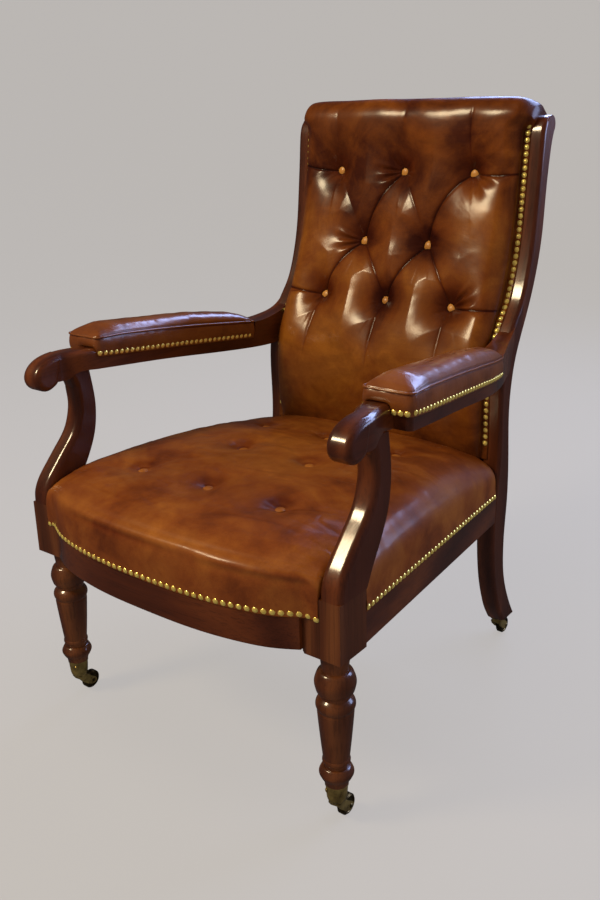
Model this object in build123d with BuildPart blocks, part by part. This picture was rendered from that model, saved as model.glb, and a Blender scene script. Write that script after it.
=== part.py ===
from build123d import *
import math
import os

# ---------------------------------------------------------------------------
# Library armchair: polished hardwood show-frame, deep-buttoned leather back,
# sprung bow-fronted seat, padded scroll arms, turned front legs and sabre rear
# legs, all on swivelling castors.
#
# Millimetres.  +Z up, the sitter faces -Y, X is the width.  The chair is
# symmetric about X = 0.  Heights are from the floor.  Fore-and-aft figures in
# this file are taken from the leg datum and moved by `datum`, so that the
# origin sits on the floor in the middle of the plan.
# ---------------------------------------------------------------------------

datum = 20.081            # leg datum to the middle of the plan, fore and aft

leg_x = 280.0             # front leg axis, half spacing
leg_y = -284.0            # front leg axis, fore and aft
block = 62.0              # square of the front leg block
block_low = 277.0         # underside of the leg block
block_top = 372.0         # arm support stands here
rail_low = 290.0          # underside of the front rail
rail_top = 363.0          # top of the front rail under the upholstery
rail_drop = 19.0          # side rails fall this much towards the rear legs
leather_edge = 339.0      # lower edge of the seat leather on the front rail
lap = 2.5                 # leather lap, sunk into a rebate of the rails

support_in = 276.0        # arm support, inner face
support_out = 312.0       # arm support, outer face
post_in = 224.0           # rear upright, inner face
post_out = 259.0          # rear upright, outer face

scroll_in = 281.0         # arm scroll, inner end
scroll_out = 319.5        # arm scroll, outer end

wheel_r = 16.0
wheel_w = 12.0
trail = 22.0              # wheel axle behind the swivel axis
pin_r = 3.0
running = 0.05            # radial running clearance
rear_castor_x = 240.0
rear_castor_y = 309.0

nail_r = 4.7
nail_h = 2.5

os.makedirs("parts", exist_ok=True)


def fy(y):
    """Fore-and-aft figure from the leg datum to the frame."""
    return y - datum


def side(points):
    """Side-view points (fore-and-aft, height) moved to the frame."""
    return [(fy(y), z) for y, z in points]


def plan(points):
    """Plan points (x, fore-and-aft) moved to the frame."""
    return [(x, fy(y)) for x, y in points]


def side_plane(x):
    """Upright plane across the chair at x; local axes are fore-and-aft and height."""
    return Plane(origin=(x, 0, 0), x_dir=(0, 1, 0), z_dir=(1, 0, 0))


def cross_plane(y):
    """Upright plane facing front at fore-and-aft y; local axes are x and height."""
    return Plane(origin=(0, fy(y), 0), x_dir=(1, 0, 0), z_dir=(0, -1, 0))


def ease(edges, radii):
    """Round the edges with the largest of the radii that the shape takes."""
    for r in radii:
        try:
            fillet(edges, radius=r)
            return r
        except ValueError:
            continue
    return 0.0


def refine(points, steps=24):
    """A smooth line through the points, as many short legs."""
    out = []
    n = len(points)
    for i in range(n - 1):
        p0 = points[max(i - 1, 0)]
        p1 = points[i]
        p2 = points[i + 1]
        p3 = points[min(i + 2, n - 1)]
        for s in range(steps):
            t = s / steps
            out.append(tuple(
                0.5 * (2 * p1[j] + (p2[j] - p0[j]) * t
                       + (2 * p0[j] - 5 * p1[j] + 4 * p2[j] - p3[j]) * t * t
                       + (3 * p1[j] - p0[j] - 3 * p2[j] + p3[j]) * t ** 3)
                for j in range(len(p1))))
    out.append(tuple(points[-1]))
    return out


# ---------------------------------------------------------------------------
# Rear uprights: sabre leg and S-curved back post in one piece of wood
# ---------------------------------------------------------------------------
post_front = [
    (293, 46), (286, 56), (274, 75), (262, 102), (250, 137), (241, 180),
    (236, 228), (235.5, 278), (240, 325), (247, 380), (248.5, 430), (247, 478),
    (248, 525), (254, 563), (269, 600), (291, 631), (310, 655), (327, 691),
    (339, 730), (347, 769), (352, 809), (356, 848), (360, 890), (363, 925),
    (367, 945), (374, 957), (386, 962.5),
]
post_back = [
    (404, 938), (398, 922), (393, 900), (388, 870), (383, 824), (377, 765), (367, 722),
    (352, 680), (334, 642), (313, 604), (293, 563), (281, 517), (277, 472),
    (282, 400), (286, 340), (285, 290), (280, 235), (280, 195), (284, 158),
    (294, 124), (308, 93), (323, 66), (336, 46),
]
with BuildPart() as back_upright_right:
    with BuildSketch(side_plane(post_in)):
        with BuildLine():
            Spline(*side(post_front))
            ThreePointArc(*side([(386, 962.5), (406, 956), (404, 938)]))
            Spline(*side(post_back))
            Line(*side([(336, 46), (293, 46)]))
        make_face()
    extrude(amount=post_out - post_in)
    # the front of the post is softened along both edges, foot to top
    long_edges = (
        back_upright_right.edges()
        .filter_by(lambda g: g.length > 880)
        .sort_by(lambda g: g.center().Y)
    )
    print("upright rounding", ease(long_edges[:2], (7.0, 6.0, 5.0, 4.0)))
    # hole up into the foot for the head of the castor's swivel pin
    with Locations((rear_castor_x, fy(rear_castor_y), 46)):
        Cylinder(radius=6.5, height=20, mode=Mode.SUBTRACT)
back_upright_right.part.label = "back_upright_right"
export_step(back_upright_right.part, "parts/back_upright_right.step")

with BuildPart() as back_upright_left:
    mirror(back_upright_right.part, about=Plane.YZ)
back_upright_left.part.label = "back_upright_left"
export_step(back_upright_left.part, "parts/back_upright_left.step")

# ---------------------------------------------------------------------------
# Front legs: square block, turned and tapered below
# ---------------------------------------------------------------------------
with BuildPart() as front_leg_right:
    with BuildSketch(Plane.XY.offset(block_low)):
        with Locations((leg_x, fy(leg_y))):
            Rectangle(block, block)
    extrude(amount=block_top - block_low)
    # the inner front part of the block is cut back for the seat leather
    with Locations((leg_x - block / 2, fy(leg_y - block / 2), leather_edge)):
        Box(support_in - leg_x + block / 2, 2 * lap, 100,
            align=(Align.MIN, Align.CENTER, Align.MIN), mode=Mode.SUBTRACT)
    chamfer(
        front_leg_right.edges().filter_by(Plane.XY)
        .filter_by(lambda g: abs(g.center().Z - block_low) < 0.1),
        length=10.0, length2=6.0,
    )
    with BuildSketch(Plane(origin=(leg_x, fy(leg_y), 0), x_dir=(1, 0, 0), z_dir=(0, -1, 0))):
        with BuildLine():
            Line((0, block_low), (21, block_low))
            Spline((21, block_low), (20.4, 268), (19.4, 259), (19.6, 254.5),
                   tangents=[(0, -1), (0.25, -1)])
            Spline((19.6, 254.5), (27, 246.5), (29.6, 235), (27.6, 224.5), (22.0, 217),
                   tangents=[(1, -0.15), (-1, -0.6)])
            Line((22.0, 217), (22.0, 212))
            Line((22.0, 212), (24.5, 209.5))
            ThreePointArc((24.5, 209.5), (28.4, 201), (26.4, 193.5))
            Line((26.4, 193.5), (25.6, 191.5))
            Line((25.6, 191.5), (26.3, 188.5))
            Spline((26.3, 188.5), (23.2, 152), (19.2, 112.5))
            ThreePointArc((19.2, 112.5), (20.4, 107.5), (18.6, 103.5))
            Line((18.6, 103.5), (18.2, 99))
            Spline((18.2, 99), (22.5, 95.5), (25.3, 87.5), (22.4, 80.5), (19.2, 77.5),
                   tangents=[(1, 0.0), (-1, -0.35)])
            Line((19.2, 77.5), (17.2, 68))
            Line((17.2, 68), (14.2, 68))
            Line((14.2, 68), (12.6, 48))
            Line((12.6, 48), (0, 48))
            Line((0, 48), (0, block_low))
        make_face()
    revolve(axis=Axis((leg_x, fy(leg_y), 0), (0, 0, 1)))
front_leg_right.part.label = "front_leg_right"
export_step(front_leg_right.part, "parts/front_leg_right.step")

with BuildPart() as front_leg_left:
    mirror(front_leg_right.part, about=Plane.YZ)
front_leg_left.part.label = "front_leg_left"
export_step(front_leg_left.part, "parts/front_leg_left.step")

# ---------------------------------------------------------------------------
# Arm supports: S-curved, rising from the leg blocks to the arm rails
# ---------------------------------------------------------------------------
arm_under = [
    (-236, 571), (-230, 575.5), (-200, 578), (-141, 572.5), (-52, 564.5),
    (93, 549), (173, 542), (235, 540.5), (262, 543),
]
with BuildPart() as arm_support_right:
    with BuildSketch(side_plane(support_in)):
        with BuildLine():
            Line(*side([(-253, block_top), (-315, block_top)]))
            Spline(*side([
                (-315, block_top), (-313.5, 390), (-306, 407), (-295, 421.5), (-281, 436.5),
                (-266, 452.5), (-251, 468), (-239.5, 484), (-231.5, 505), (-228.5, 526),
                (-230.5, 549), (-237, 569),
            ]), tangents=[(0, 1), (-0.4, 1)])
            Line(*side([(-237, 569), (-237, 582)]))
            Line(*side([(-237, 582), (-201, 582)]))
            Line(*side([(-201, 582), (-201, 576)]))
            Spline(*side([
                (-201, 576), (-197, 549), (-194.5, 522), (-196, 495), (-201.5, 469),
                (-211, 446), (-225, 421), (-237, 402), (-246, 385), (-253, block_top),
            ]))
        make_face()
    extrude(amount=support_out - support_in)
    # the front of the support is rounded across its width
    long_edges = (
        arm_support_right.edges()
        .filter_by(lambda g: g.length > 205)
        .sort_by(lambda g: g.center().Y)
    )
    print("arm support rounding", ease(long_edges[:2], (12.0, 10.0, 8.0, 6.0, 4.0)))
    # coped to the underside of the arm
    with BuildSketch(side_plane(support_in - 30)):
        with BuildLine():
            Spline(*side(arm_under))
            Line(*side([(262, 543), (262, 700)]))
            Line(*side([(262, 700), (-236, 700)]))
            Line(*side([(-236, 700), (-236, 571)]))
        make_face()
    extrude(amount=120, mode=Mode.SUBTRACT)
    with BuildSketch(side_plane(support_in - 30)):
        with BuildLine():
            Polyline(*side([(-236, 571), (-236, 700), (-260, 700), (-260, 571), (-236, 571)]))
        make_face()
    extrude(amount=120, mode=Mode.SUBTRACT)
arm_support_right.part.label = "arm_support_right"
export_step(arm_support_right.part, "parts/arm_support_right.step")

with BuildPart() as arm_support_left:
    mirror(arm_support_right.part, about=Plane.YZ)
arm_support_left.part.label = "arm_support_left"
export_step(arm_support_left.part, "parts/arm_support_left.step")

# ---------------------------------------------------------------------------
# Arm rails: scroll over at the front, broad under the pad, and sweep up into
# the rear uprights
# ---------------------------------------------------------------------------
arm_plan_out = [
    (335, -184), (329, -110), (321, -40), (313, 30), (303, 110), (291, 165),
    (277, 212), (264, 255), (259, 285), (258, 330),
]
arm_plan_in = [
    (233, 330), (233, 285), (234, 250), (238, 205), (244, 155), (251, 80),
    (257, 0), (262, -90), (266, -184),
]
# the scroll: a fat roll with well rounded ends
with BuildPart() as scroll_right:
    with BuildSketch(side_plane(scroll_in)):
        with BuildLine():
            Spline(*side([
                (-247, 612.9), (-263, 611.2), (-280, 606.4), (-294.5, 597.0), (-302.5, 583.5),
                (-301, 569.5), (-291, 559.5), (-277.5, 557), (-264.5, 562), (-256.5, 573.0),
            ]), tangents=[(-1, -0.05), (0.24, 1)])
            Line(*side([(-256.5, 573.0), (-247, 612.9)]))
        make_face()
    extrude(amount=scroll_out - scroll_in)
    print("scroll rounding", ease([g for g in scroll_right.edges() if g.length > 100],
                                  (9.0, 8.0, 7.0, 6.0)))
# the waisted neck behind it
with BuildPart() as neck_right:
    with BuildSketch(Plane.XY.offset(500)):
        with BuildLine():
            Spline(*plan([(scroll_out - 0.5, -270), (scroll_out - 1.0, -247), (315, -228),
                          (309.5, -205), (308, -180)]), tangents=[(0, 1), (0, 1)])
            Line(*plan([(308, -180), (266, -180)]))
            Spline(*plan([(266, -180), (267, -196), (273, -222), (scroll_in + 1.0, -247),
                          (scroll_in + 0.5, -270)]), tangents=[(0, -1), (0, -1)])
            Line(*plan([(scroll_in + 0.5, -270), (scroll_out - 0.5, -270)]))
        make_face()
    extrude(amount=160)
    with BuildSketch(side_plane(200)):
        with BuildLine():
            Spline(*side([(-180, 611.0), (-205, 613.0), (-225, 613.5), (-247, 612.4),
                          (-260, 610.6)]), tangents=[(-1, 0.08), (-1, -0.17)])
            Line(*side([(-260, 610.6), (-266, 569.5)]))
            Spline(*side([(-266, 569.5), (-248, 568.2), (-236, 571)]),
                   tangents=[(1, -0.1), (0.6, 0.5)])
            Spline(*side([(-236, 571), (-230, 575.5), (-200, 578), (-180, 576.5)]))
            Line(*side([(-180, 576.5), (-180, 611.0)]))
        make_face()
    extrude(amount=200, mode=Mode.INTERSECT)
    print("neck rounding", ease([g for g in neck_right.edges()
                                 if g.center().Z > 605 and g.length > 50],
                                (9.0, 8.0, 7.0, 6.0)))
with BuildPart() as arm_rail_right:
    # seen from above
    with BuildSketch(Plane.XY.offset(500)):
        with BuildLine():
            Line(*plan([(266, -184), (335, -184)]))
            Spline(*plan(arm_plan_out))
            Line(*plan([(258, 330), (233, 330)]))
            Spline(*plan(arm_plan_in))
        make_face()
    extrude(amount=160)
    # seen from the side
    with BuildSketch(side_plane(200)):
        with BuildLine():
            Spline(*side([(185, 574), (120, 579), (56, 586), (-52, 597.5), (-141, 606),
                          (-184, 611.2)]))
            Line(*side([(-184, 611.2), (-200, 611.2)]))
            Line(*side([(-200, 611.2), (-200, 578)]))
            Spline(*side(arm_under[2:]))
            Line(*side([(262, 543), (330, 600)]))
            Line(*side([(330, 600), (330, 668)]))
            Line(*side([(330, 668), (317, 668)]))
            Spline(*side([(317, 668), (303, 642), (294, 627.5), (281, 614.5), (262, 604),
                          (237, 597), (207, 592), (185, 591.5)]),
                   tangents=[(-0.45, -1), (-1, 0)])
            Line(*side([(185, 591.5), (185, 574)]))
        make_face()
    extrude(amount=200, mode=Mode.INTERSECT)
    print("arm corner rounding", ease(
        [g for g in arm_rail_right.edges().filter_by(Axis.Z)
         if g.center().X > 300 and g.center().Y < fy(-170)], (8.0, 6.0, 4.0)))
    add(scroll_right.part)
    add(neck_right.part)
    # coped over the support, and at the rear end to the upright
    add(arm_support_right.part, mode=Mode.SUBTRACT)
    add(back_upright_right.part, mode=Mode.SUBTRACT)
    with BuildSketch(side_plane(200)):
        with BuildLine():
            Polyline(*side([(263, 490), (266, 530), (274, 565), (291, 603), (308, 634),
                            (250, 634), (250, 710), (460, 710), (460, 490), (263, 490)]))
        make_face()
    extrude(amount=120, mode=Mode.SUBTRACT)
print("arm_rail_right solids", len(arm_rail_right.solids()))
arm_rail_right.part.label = "arm_rail_right"
export_step(arm_rail_right.part, "parts/arm_rail_right.step")

with BuildPart() as arm_rail_left:
    mirror(arm_rail_right.part, about=Plane.YZ)
arm_rail_left.part.label = "arm_rail_left"
export_step(arm_rail_left.part, "parts/arm_rail_left.step")

# ---------------------------------------------------------------------------
# Arm pads: boxed leather pads that saddle the arm rails
# ---------------------------------------------------------------------------
pad_out = [
    (338.5, -178), (336, -150), (332, -110), (324, -40), (316, 30), (306, 110),
    (296, 158), (289, 179),
]
pad_in = [
    (240, 179), (241, 155), (248, 80), (254, 0), (259, -90), (262.5, -178),
]
with BuildPart() as arm_pad_right:
    with BuildSketch(Plane.XY.offset(500)):
        with BuildLine():
            Spline(*plan(pad_out))
            Spline(*plan([(289, 179), (284, 186), (265, 189), (246, 186), (240, 179)]),
                   tangents=[(-0.4, 1), (-0.2, -1)])
            Spline(*plan(pad_in))
            Spline(*plan([(262.5, -178), (263.4, -186.5), (267.5, -190.2), (300, -191), (335, -187),
                          (338.5, -178)]), tangents=[(0, -1), (0, 1)])
        make_face()
    extrude(amount=200)
    with BuildSketch(side_plane(200)):
        with BuildLine():
            Spline(*side([(-195, 600), (-141, 592), (-52, 583.5), (93, 568), (184.5, 560.5)]))
            Line(*side([(184.5, 560.5), (195, 560.5)]))
            Line(*side([(195, 560.5), (195, 588)]))
            Spline(*side([(195, 588), (170, 606), (134, 617), (34, 630), (-58, 639),
                          (-143, 646)]), tangents=[(-0.3, 1), (-1, 0.03)])
            ThreePointArc(*side([(-143, 646), (-177, 641.5), (-195, 625)]))
            Line(*side([(-195, 625), (-195, 600)]))
        make_face()
    extrude(amount=200, mode=Mode.INTERSECT)
    add(arm_rail_right.part, mode=Mode.SUBTRACT)
    # nothing of the pad hangs below its lower edge in front of the rail
arm_pad_right.part.label = "arm_pad_right"
export_step(arm_pad_right.part, "parts/arm_pad_right.step")

with BuildPart() as arm_pad_left:
    mirror(arm_pad_right.part, about=Plane.YZ)
arm_pad_left.part.label = "arm_pad_left"
export_step(arm_pad_left.part, "parts/arm_pad_left.step")

# ---------------------------------------------------------------------------
# Seat rails
# ---------------------------------------------------------------------------
bow = [
    (-256, -317), (-241, -326), (-211, -340.5), (-170, -352), (-120, -360.5),
    (-60, -365.2), (0, -366), (60, -365.2), (120, -360.5), (170, -352),
    (211, -340.5), (241, -326), (256, -317),
]
bow_lap = [(x, y + lap) for x, y in bow]
bow_in = [
    (256, -286), (211, -305), (170, -317), (120, -326), (60, -331), (0, -332),
    (-60, -331), (-120, -326), (-170, -317), (-211, -305), (-256, -286),
]


def slope_z(y, z_front):
    """Height on the falling side rails: level to the leg block, then down."""
    run = 236.0 + 253.0
    return z_front - rail_drop * max(0.0, y + 253.0) / run


with BuildPart() as seat_rail_front:
    with BuildSketch(Plane.XY.offset(rail_low)):
        with BuildLine():
            o = Spline(*plan(bow))
            Line(o @ 1, plan(bow_in)[0])
            i = Spline(*plan(bow_in))
            Line(i @ 1, o @ 0)
        make_face()
    extrude(amount=rail_top - rail_low)
    # rebate for the leather
    with BuildSketch(Plane.XY.offset(leather_edge)):
        with BuildLine():
            o = Spline(*plan(bow_lap))
            Polyline(o @ 1, *plan([(256, -420), (-256, -420)]), o @ 0)
        make_face()
    extrude(amount=80, mode=Mode.SUBTRACT)
    # ends stop against the leg blocks
    with Locations((leg_x, fy(leg_y), 200), (-leg_x, fy(leg_y), 200)):
        Box(block, 200, 300, align=(Align.CENTER, Align.CENTER, Align.MIN),
            mode=Mode.SUBTRACT)
    # small radius along the lower front edge
    low = (
        seat_rail_front.edges()
        .filter_by(lambda g: abs(g.center().Z - rail_low) < 0.1 and g.length > 300)
        .sort_by(lambda g: g.center().Y)
    )
    print("front rail rounding", ease(low[:1], (2.0, 1.0)))
seat_rail_front.part.label = "seat_rail_front"
export_step(seat_rail_front.part, "parts/seat_rail_front.step")

rail_thick = 25.0
with BuildPart() as seat_rail_right:
    for y, x_out in ((-253.0, 311.0), (262.0, 256.2)):
        zl = slope_z(y, 289.0)
        ze = slope_z(y, 336.0)
        zt = slope_z(y, rail_top)
        with BuildSketch(cross_plane(y)):
            with BuildLine():
                Polyline(
                    (x_out, zl), (x_out, ze), (x_out - lap, ze), (x_out - lap, zt),
                    (x_out - rail_thick, zt), (x_out - rail_thick, zl), (x_out, zl),
                )
            make_face()
    loft(ruled=True)
    add(back_upright_right.part, mode=Mode.SUBTRACT)
    # nothing is left inside or behind the upright
    with Locations((240, fy(262), 250)):
        Box(60, 30, 150, align=(Align.CENTER, Align.CENTER, Align.MIN), mode=Mode.SUBTRACT)
seat_rail_right.part.label = "seat_rail_right"
print("seat_rail_right solids", len(seat_rail_right.solids()))
export_step(seat_rail_right.part, "parts/seat_rail_right.step")

with BuildPart() as seat_rail_left:
    mirror(seat_rail_right.part, about=Plane.YZ)
seat_rail_left.part.label = "seat_rail_left"
export_step(seat_rail_left.part, "parts/seat_rail_left.step")

with BuildPart() as seat_rail_back:
    with BuildSketch(side_plane(-post_in)):
        with BuildLine():
            Polyline(*side([(255, 272), (283, 272), (283, 343), (255, 343), (255, 272)]))
        make_face()
    extrude(amount=2 * post_in)
seat_rail_back.part.label = "seat_rail_back"
export_step(seat_rail_back.part, "parts/seat_rail_back.step")

# opening between the rails, seen from above
opening = [
    (249, -284), (249, -253), (286, -253), (234, 233), (224, 233), (224, 255),
    (-224, 255), (-224, 233), (-234, 233), (-286, -253), (-249, -253), (-249, -284),
]

with BuildPart() as corner_blocks:
    with BuildSketch(Plane.XY.offset(300)):
        with BuildLine():
            Polyline(*plan([(286, -253), (286, -190), (222, -253), (286, -253)]))
        make_face()
        with BuildLine():
            Polyline(*plan([(-286, -253), (-286, -190), (-222, -253), (-286, -253)]))
        make_face()
    extrude(amount=38)
    with BuildSketch(Plane.XY.offset(290)):
        with BuildLine():
            Polyline(*plan([(224, 255), (154, 255), (224, 185), (240, 185), (240, 233),
                            (224, 233), (224, 255)]))
        make_face()
        with BuildLine():
            Polyline(*plan([(-224, 255), (-154, 255), (-224, 185), (-240, 185), (-240, 233),
                            (-224, 233), (-224, 255)]))
        make_face()
    extrude(amount=38)
    for rail in (seat_rail_left, seat_rail_right):
        add(rail.part, mode=Mode.SUBTRACT)
print("corner_blocks solids", len(corner_blocks.solids()))
corner_blocks.part.label = "corner_blocks"
export_step(corner_blocks.part, "parts/corner_blocks.step")

# ---------------------------------------------------------------------------
# Back rails between the uprights
# ---------------------------------------------------------------------------
with BuildPart() as crest_rail:
    with BuildSketch(side_plane(-post_in)):
        with BuildLine():
            Polyline(*side([(362, 893), (364, 925), (369, 948), (377, 958), (393, 958),
                            (396, 935), (390, 893), (362, 893)]))
        make_face()
    extrude(amount=2 * post_in)
crest_rail.part.label = "crest_rail"
export_step(crest_rail.part, "parts/crest_rail.step")

with BuildPart() as lower_back_rail:
    with BuildSketch(side_plane(-post_in)):
        with BuildLine():
            Polyline(*side([(252, 420), (276, 420), (274, 465), (250, 465), (252, 420)]))
        make_face()
    extrude(amount=2 * post_in)
lower_back_rail.part.label = "lower_back_rail"
export_step(lower_back_rail.part, "parts/lower_back_rail.step")

# ---------------------------------------------------------------------------
# Seat: webbing, canvas and the stuffed leather seat
# ---------------------------------------------------------------------------
tilt = math.atan(rail_drop / 489.0)


def tilted(z_front):
    """Plane parallel to the tops of the side rails."""
    return Plane(origin=(0, fy(-253), z_front), x_dir=(1, 0, 0),
                 z_dir=(0, math.sin(tilt), math.cos(tilt)))


web_z = 350.0
with BuildPart() as seat_webbing_long:
    with BuildSketch(tilted(web_z)):
        for x in (-165, -55, 55, 165):
            with Locations((x, 210)):
                Rectangle(50, 640)
    extrude(amount=1.4)
    with BuildSketch(Plane.XY.offset(250)):
        with BuildLine():
            Polyline(*plan([(249, -270), (249, 255), (-249, 255), (-249, -270)]))
            i = Spline(*plan([(-249, -270), (-211, -290), (-170, -303), (-120, -313), (-60, -319),
                              (0, -320), (60, -319), (120, -313), (170, -303), (211, -290),
                              (249, -270)]))
        make_face()
    extrude(amount=160, mode=Mode.INTERSECT)
seat_webbing_long.part.label = "seat_webbing_long"
export_step(seat_webbing_long.part, "parts/seat_webbing_long.step")

with BuildPart() as seat_webbing_cross:
    with BuildSketch(tilted(web_z + 1.45)):
        for y in (60, 165, 270, 375):
            with Locations((0, y)):
                Rectangle(700, 50)
    extrude(amount=1.4)
    with BuildSketch(Plane.XY.offset(250)):
        with BuildLine():
            Polyline(*plan(opening + opening[:1]))
        make_face()
    extrude(amount=160, mode=Mode.INTERSECT)
seat_webbing_cross.part.label = "seat_webbing_cross"
export_step(seat_webbing_cross.part, "parts/seat_webbing_cross.step")

with BuildPart() as seat_canvas:
    with BuildSketch(tilted(web_z + 2.9)):
        with Locations((0, 240)):
            Rectangle(800, 700)
    extrude(amount=1.0)
    with BuildSketch(Plane.XY.offset(250)):
        with BuildLine():
            Polyline(*plan([(249, -270), (249, -253), (286, -253), (234, 233), (224, 233),
                            (224, 255), (-224, 255), (-224, 233), (-234, 233), (-286, -253),
                            (-249, -253), (-249, -270)]))
            Spline(*plan([(-249, -270), (-211, -290), (-170, -303), (-120, -313), (-60, -319),
                          (0, -320), (60, -319), (120, -313), (170, -303), (211, -290),
                          (249, -270)]))
        make_face()
    extrude(amount=160, mode=Mode.INTERSECT)
seat_canvas.part.label = "seat_canvas"
export_step(seat_canvas.part, "parts/seat_canvas.step")

seat_tuft_spots = [
    (-142, -222, 440), (0, -222, 443), (142, -222, 440),
    (-70, -57, 441), (70, -57, 441),
    (-142, 93, 420), (0, 93, 422), (142, 93, 420),
]
seat_back_edge = 224.0
with BuildPart() as seat_stuffed:
    # outline seen from above
    with BuildSketch(Plane.XY.offset(300)):
        with BuildLine():
            Spline(*plan([
                (-276, -315.0), (-256, -317), (-241, -326), (-211, -340.5), (-170, -352),
                (-120, -360.5), (-60, -365.2), (0, -366), (60, -365.2), (120, -360.5),
                (170, -352), (211, -340.5), (241, -326), (256, -317), (276, -315.0),
            ]))
            Polyline(*plan([
                (276, -315.0), (276, -253), (311, -253), (259.4, 232), (258.8, 238), (258.8, 262),
                (224, 262), (224, seat_back_edge), (-224, seat_back_edge), (-224, 262),
                (-258.8, 262), (-258.8, 238), (-259.4, 232), (-311, -253), (-276, -253),
                (-276, -315.0),
            ]))
        make_face()
    extrude(amount=260)
    # seen from the side: lower edge falls to the rear, top crowned
    with BuildSketch(side_plane(-330)):
        with BuildLine():
            Polyline(*side([(-385, 405), (-385, leather_edge), (-253, leather_edge),
                            (-253, 336), (262, 336 - rail_drop * 515 / 489), (262, 396)]))
            Spline(*side([(262, 396), (220, 407), (93, 431), (0, 442), (-100, 449),
                          (-222, 446), (-320, 429), (-366, 412), (-385, 405)]))
        make_face()
    extrude(amount=660, mode=Mode.INTERSECT)
    # seen from the front: crowned
    with BuildSketch(cross_plane(-400)):
        with BuildLine():
            Polyline((-330, 372), (-330, 290), (330, 290), (330, 372))
            Spline((330, 372), (300, 398), (276, 414), (230, 433), (150, 448), (0, 456),
                   (-150, 448), (-230, 433), (-276, 414), (-300, 398), (-330, 372))
        make_face()
    extrude(amount=-700, mode=Mode.INTERSECT)
    # the space between the rails stays open under the canvas
    with BuildSketch(side_plane(-330)):
        with BuildLine():
            Polyline(*side([(-385, 250), (-385, rail_top), (-253, rail_top),
                            (262, rail_top - rail_drop * 515 / 489), (262, 250), (-385, 250)]))
        make_face()
    well = extrude(amount=660, mode=Mode.PRIVATE)
    with BuildSketch(Plane.XY.offset(240)):
        with BuildLine():
            Spline(*plan(bow_lap))
            Polyline(*plan([
                (256, -317 + lap), (276, -312.5), (276, -253), (308.5, -253), (256.9, 232), (256.9, 262),
                (-256.9, 262), (-256.9, 232), (-308.5, -253), (-276, -253), (-276, -312.5),
                (-256, -317 + lap),
            ]))
        make_face()
    inner = extrude(amount=200, mode=Mode.PRIVATE)
    add(well & inner, mode=Mode.SUBTRACT)
    with Locations(*[(x, fy(y), z - 2.0) for x, y, z in seat_tuft_spots]):
        Cylinder(radius=8.0, height=40, align=(Align.CENTER, Align.CENTER, Align.MIN),
                 mode=Mode.SUBTRACT)
    for neighbour in (seat_rail_front, seat_rail_left, seat_rail_right, front_leg_left,
                      front_leg_right, back_upright_left, back_upright_right,
                      arm_support_left, arm_support_right):
        add(neighbour.part, mode=Mode.SUBTRACT)
with BuildPart() as seat_pad:
    add(seat_stuffed.part)
    add(well, mode=Mode.SUBTRACT)
print("seat_pad solids", len(seat_pad.solids()), [round(s.volume) for s in seat_pad.solids()])
seat_pad.part.label = "seat_pad"
export_step(seat_pad.part, "parts/seat_pad.step")

# the leather's border, drawn down over the faces of the rails and nailed
with BuildPart() as seat_border:
    add(seat_stuffed.part)
    add(well, mode=Mode.INTERSECT)
print("seat_border solids", len(seat_border.solids()),
      [round(s.volume) for s in seat_border.solids()])
seat_border.part.label = "seat_border"
export_step(seat_border.part, "parts/seat_border.step")

# ---------------------------------------------------------------------------
# Back: stuffed and buttoned pad between and over the uprights
# ---------------------------------------------------------------------------
back_face = [
    (228, 380), (221, 420), (216, 470), (219, 520), (230, 570), (248, 620),
    (267, 665), (287, 712), (303, 760), (316, 810), (326, 860), (333, 905),
    (337, 945), (343, 972), (356, 989), (375, 994), (396, 986), (408, 968),
]
back_rear = [
    (408, 968), (403, 940), (399, 922), (394.5, 900), (389.5, 870), (384.5, 824),
    (378.5, 765), (368.5, 722), (353.5, 680), (335.5, 642), (314.5, 604),
    (294.5, 563), (282.5, 517), (278.5, 472), (283.5, 400), (284.5, 380),
]
back_button_spots = [
    (-142, 339, 872, 14), (0, 339, 872, 14), (142, 339, 872, 14),
    (-69, 303, 747, 24), (69, 303, 747, 24),
    (-138, 274, 649, 24), (0, 274, 649, 24), (138, 274, 649, 24),
]
# the floor of each button's recess
button_seats = []
for x, y, z, lean in back_button_spots:
    a = math.radians(lean)
    n = Vector(0, -math.cos(a), math.sin(a))
    button_seats.append(Location(Plane(origin=Vector(x, fy(y), z) - n * 3.0,
                                       x_dir=(1, 0, 0), z_dir=n)))

post_line = refine([(y, z) for y, z in post_front[9:]])
hide = 1.6                # thickness of the nailed leather
flange_line = []
for (y0, z0), (y1, z1) in zip(post_line[::12], post_line[12::12]):
    if z0 < 944:
        leg = math.hypot(y1 - y0, z1 - z0)
        flange_line.append((y0 - hide * (z1 - z0) / leg, z0 + hide * (y1 - y0) / leg))

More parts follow.
